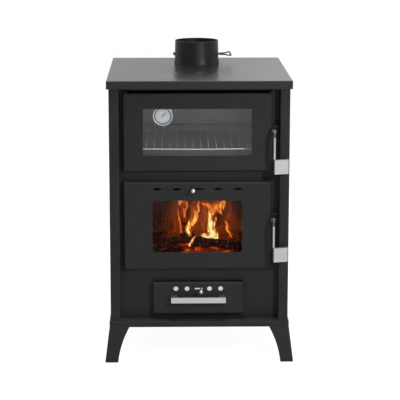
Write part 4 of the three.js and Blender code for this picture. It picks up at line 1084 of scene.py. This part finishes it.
def light_the_fire():
    coal_bed()
    ash_heap()
    log_of_wood("log_left", (-152, -222, 329), (-20, -128, 376), 17, 1.0)
    log_of_wood("log_right", (-30, -150, 350), (156, -176, 337), 21, 2.3)
    log_of_wood("log_back", (-34, -70, 352), (96, -40, 350), 25, 4.1)
    log_of_wood("log_low", (-70, -120, 347), (60, -90, 349), 19, 5.2)
    for name, (depth, heat, stations) in FLAMES.items():
        flame_tongue("flame_" + name, depth, heat, stations)


# ---- camera, light

def set_camera():
    data = bpy.data.cameras.new("camera")
    data.sensor_width = 36
    data.lens = 131.94
    data.shift_x = 0.019
    data.shift_y = -0.08
    data.clip_end = 60
    looks_down, looks_right = 11.11, 0.96
    camera = linked("camera", data)
    camera.location = (-0.095, -4.671, 1.476)
    camera.rotation_euler = (math.radians(90 - looks_down), 0, math.radians(-looks_right))
    bpy.context.scene.camera = camera


def lamp(name, place, target, power, size, height=None):
    """A soft light of so many watts: a disc, or an upright strip where it has a height."""
    data = bpy.data.lights.new(name, "AREA")
    data.shape = "RECTANGLE" if height else "DISK"
    data.size = size
    if height:
        data.size_y = height
    data.energy = power
    thing = linked(name, data)
    thing.location = place
    thing.rotation_euler = (Vector(target) - Vector(place)).to_track_quat("-Z", "Y").to_euler()
    thing.visible_camera = False


def glow(name, place, power):
    """A small orange light inside the fire."""
    data = bpy.data.lights.new(name, "POINT")
    data.energy = power
    data.color = (1.0, 0.32, 0.07)
    data.shadow_soft_size = 0.03
    linked(name, data).location = place


def set_light():
    """Lamps in front for the look, and round the sides and back so that those show as well."""
    lamp("key_light", (0.9, -1.85, 1.3), (0, -0.25, 0.55), 25, 0.12)
    lamp("side_strip", (1.75, -1.6, 0.95), (0, -0.2, 0.6), 2.2, 0.25, 1.6)
    lamp("front_fill", (0.3, -4.6, 0.9), (0, -0.2, 0.5), 6, 0.5)
    lamp("top_light", (0.1, -0.6, 3.0), (0, -0.2, 0.3), 97, 0.9)
    lamp("back_light", (0.5, 2.2, 1.6), (0, 0.1, 0.88), 0.9, 0.8)
    lamp("rear_light", (-0.9, 2.6, 2.9), (0, 0.3, 0.5), 42, 0.9)
    lamp("left_light", (-2.6, 0.9, 1.5), (-0.28, 0, 0.5), 9, 0.9)
    lamp("right_light", (2.6, 0.4, 1.7), (0.28, 0, 0.5), 16, 0.9)
    glow("fire_light_middle", (0.03, -0.07, 0.42), 0.45)
    glow("fire_light_left", (-0.08, -0.04, 0.40), 0.36)
    glow("fire_light_right", (0.10, -0.05, 0.39), 0.4)

    world = bpy.data.worlds.new("studio")
    bpy.context.scene.world = world
    world.use_nodes = True
    world.node_tree.nodes.clear()
    sky = Nodes(world.node_tree)
    lit, shown = 0.2, 1.0
    background = sky.node("ShaderNodeBackground", None, {
        "Color": (1, 1, 1, 1), "Strength": sky.seen() * (shown - lit) + lit})
    sky.node("ShaderNodeOutputWorld", None, {"Surface": background})
    bpy.context.scene.view_settings.view_transform = "Standard"
    bpy.context.scene.cycles.transparent_max_bounces = 32


def lay_floor():
    """A pale floor that keeps the stove's shadow, and is seen as white."""
    half = 9
    mesh = mesh_from([(-half, -half, 0), (half, -half, 0), (half, half, 0), (-half, half, 0)],
                     [(0, 1, 2, 3)], "studio_floor")
    floor = linked("studio_floor", mesh)
    ground = Finish("studio_white", Roughness=0.9, Specular_IOR_Level=0.0)
    faint = ground.noise(0.7, 2)
    ground.set(Base_Color=ground.blend(faint, grey(228), grey(236)))
    white = ground.node("ShaderNodeEmission", None, {"Color": (1, 1, 1, 1), "Strength": 1.2})
    lit = ground.node("ShaderNodeMixShader", None, {
        0: ground.seen() * 0.8, 1: ground.shader, 2: white})
    ground.feed(ground.output.inputs["Surface"], lit)
    mesh.materials.append(ground.material)


dress_frame()
fit_thermometer()
lay_ropes()
drive_bolts()
bend_grip()
light_the_fire()
set_camera()
set_light()
lay_floor()
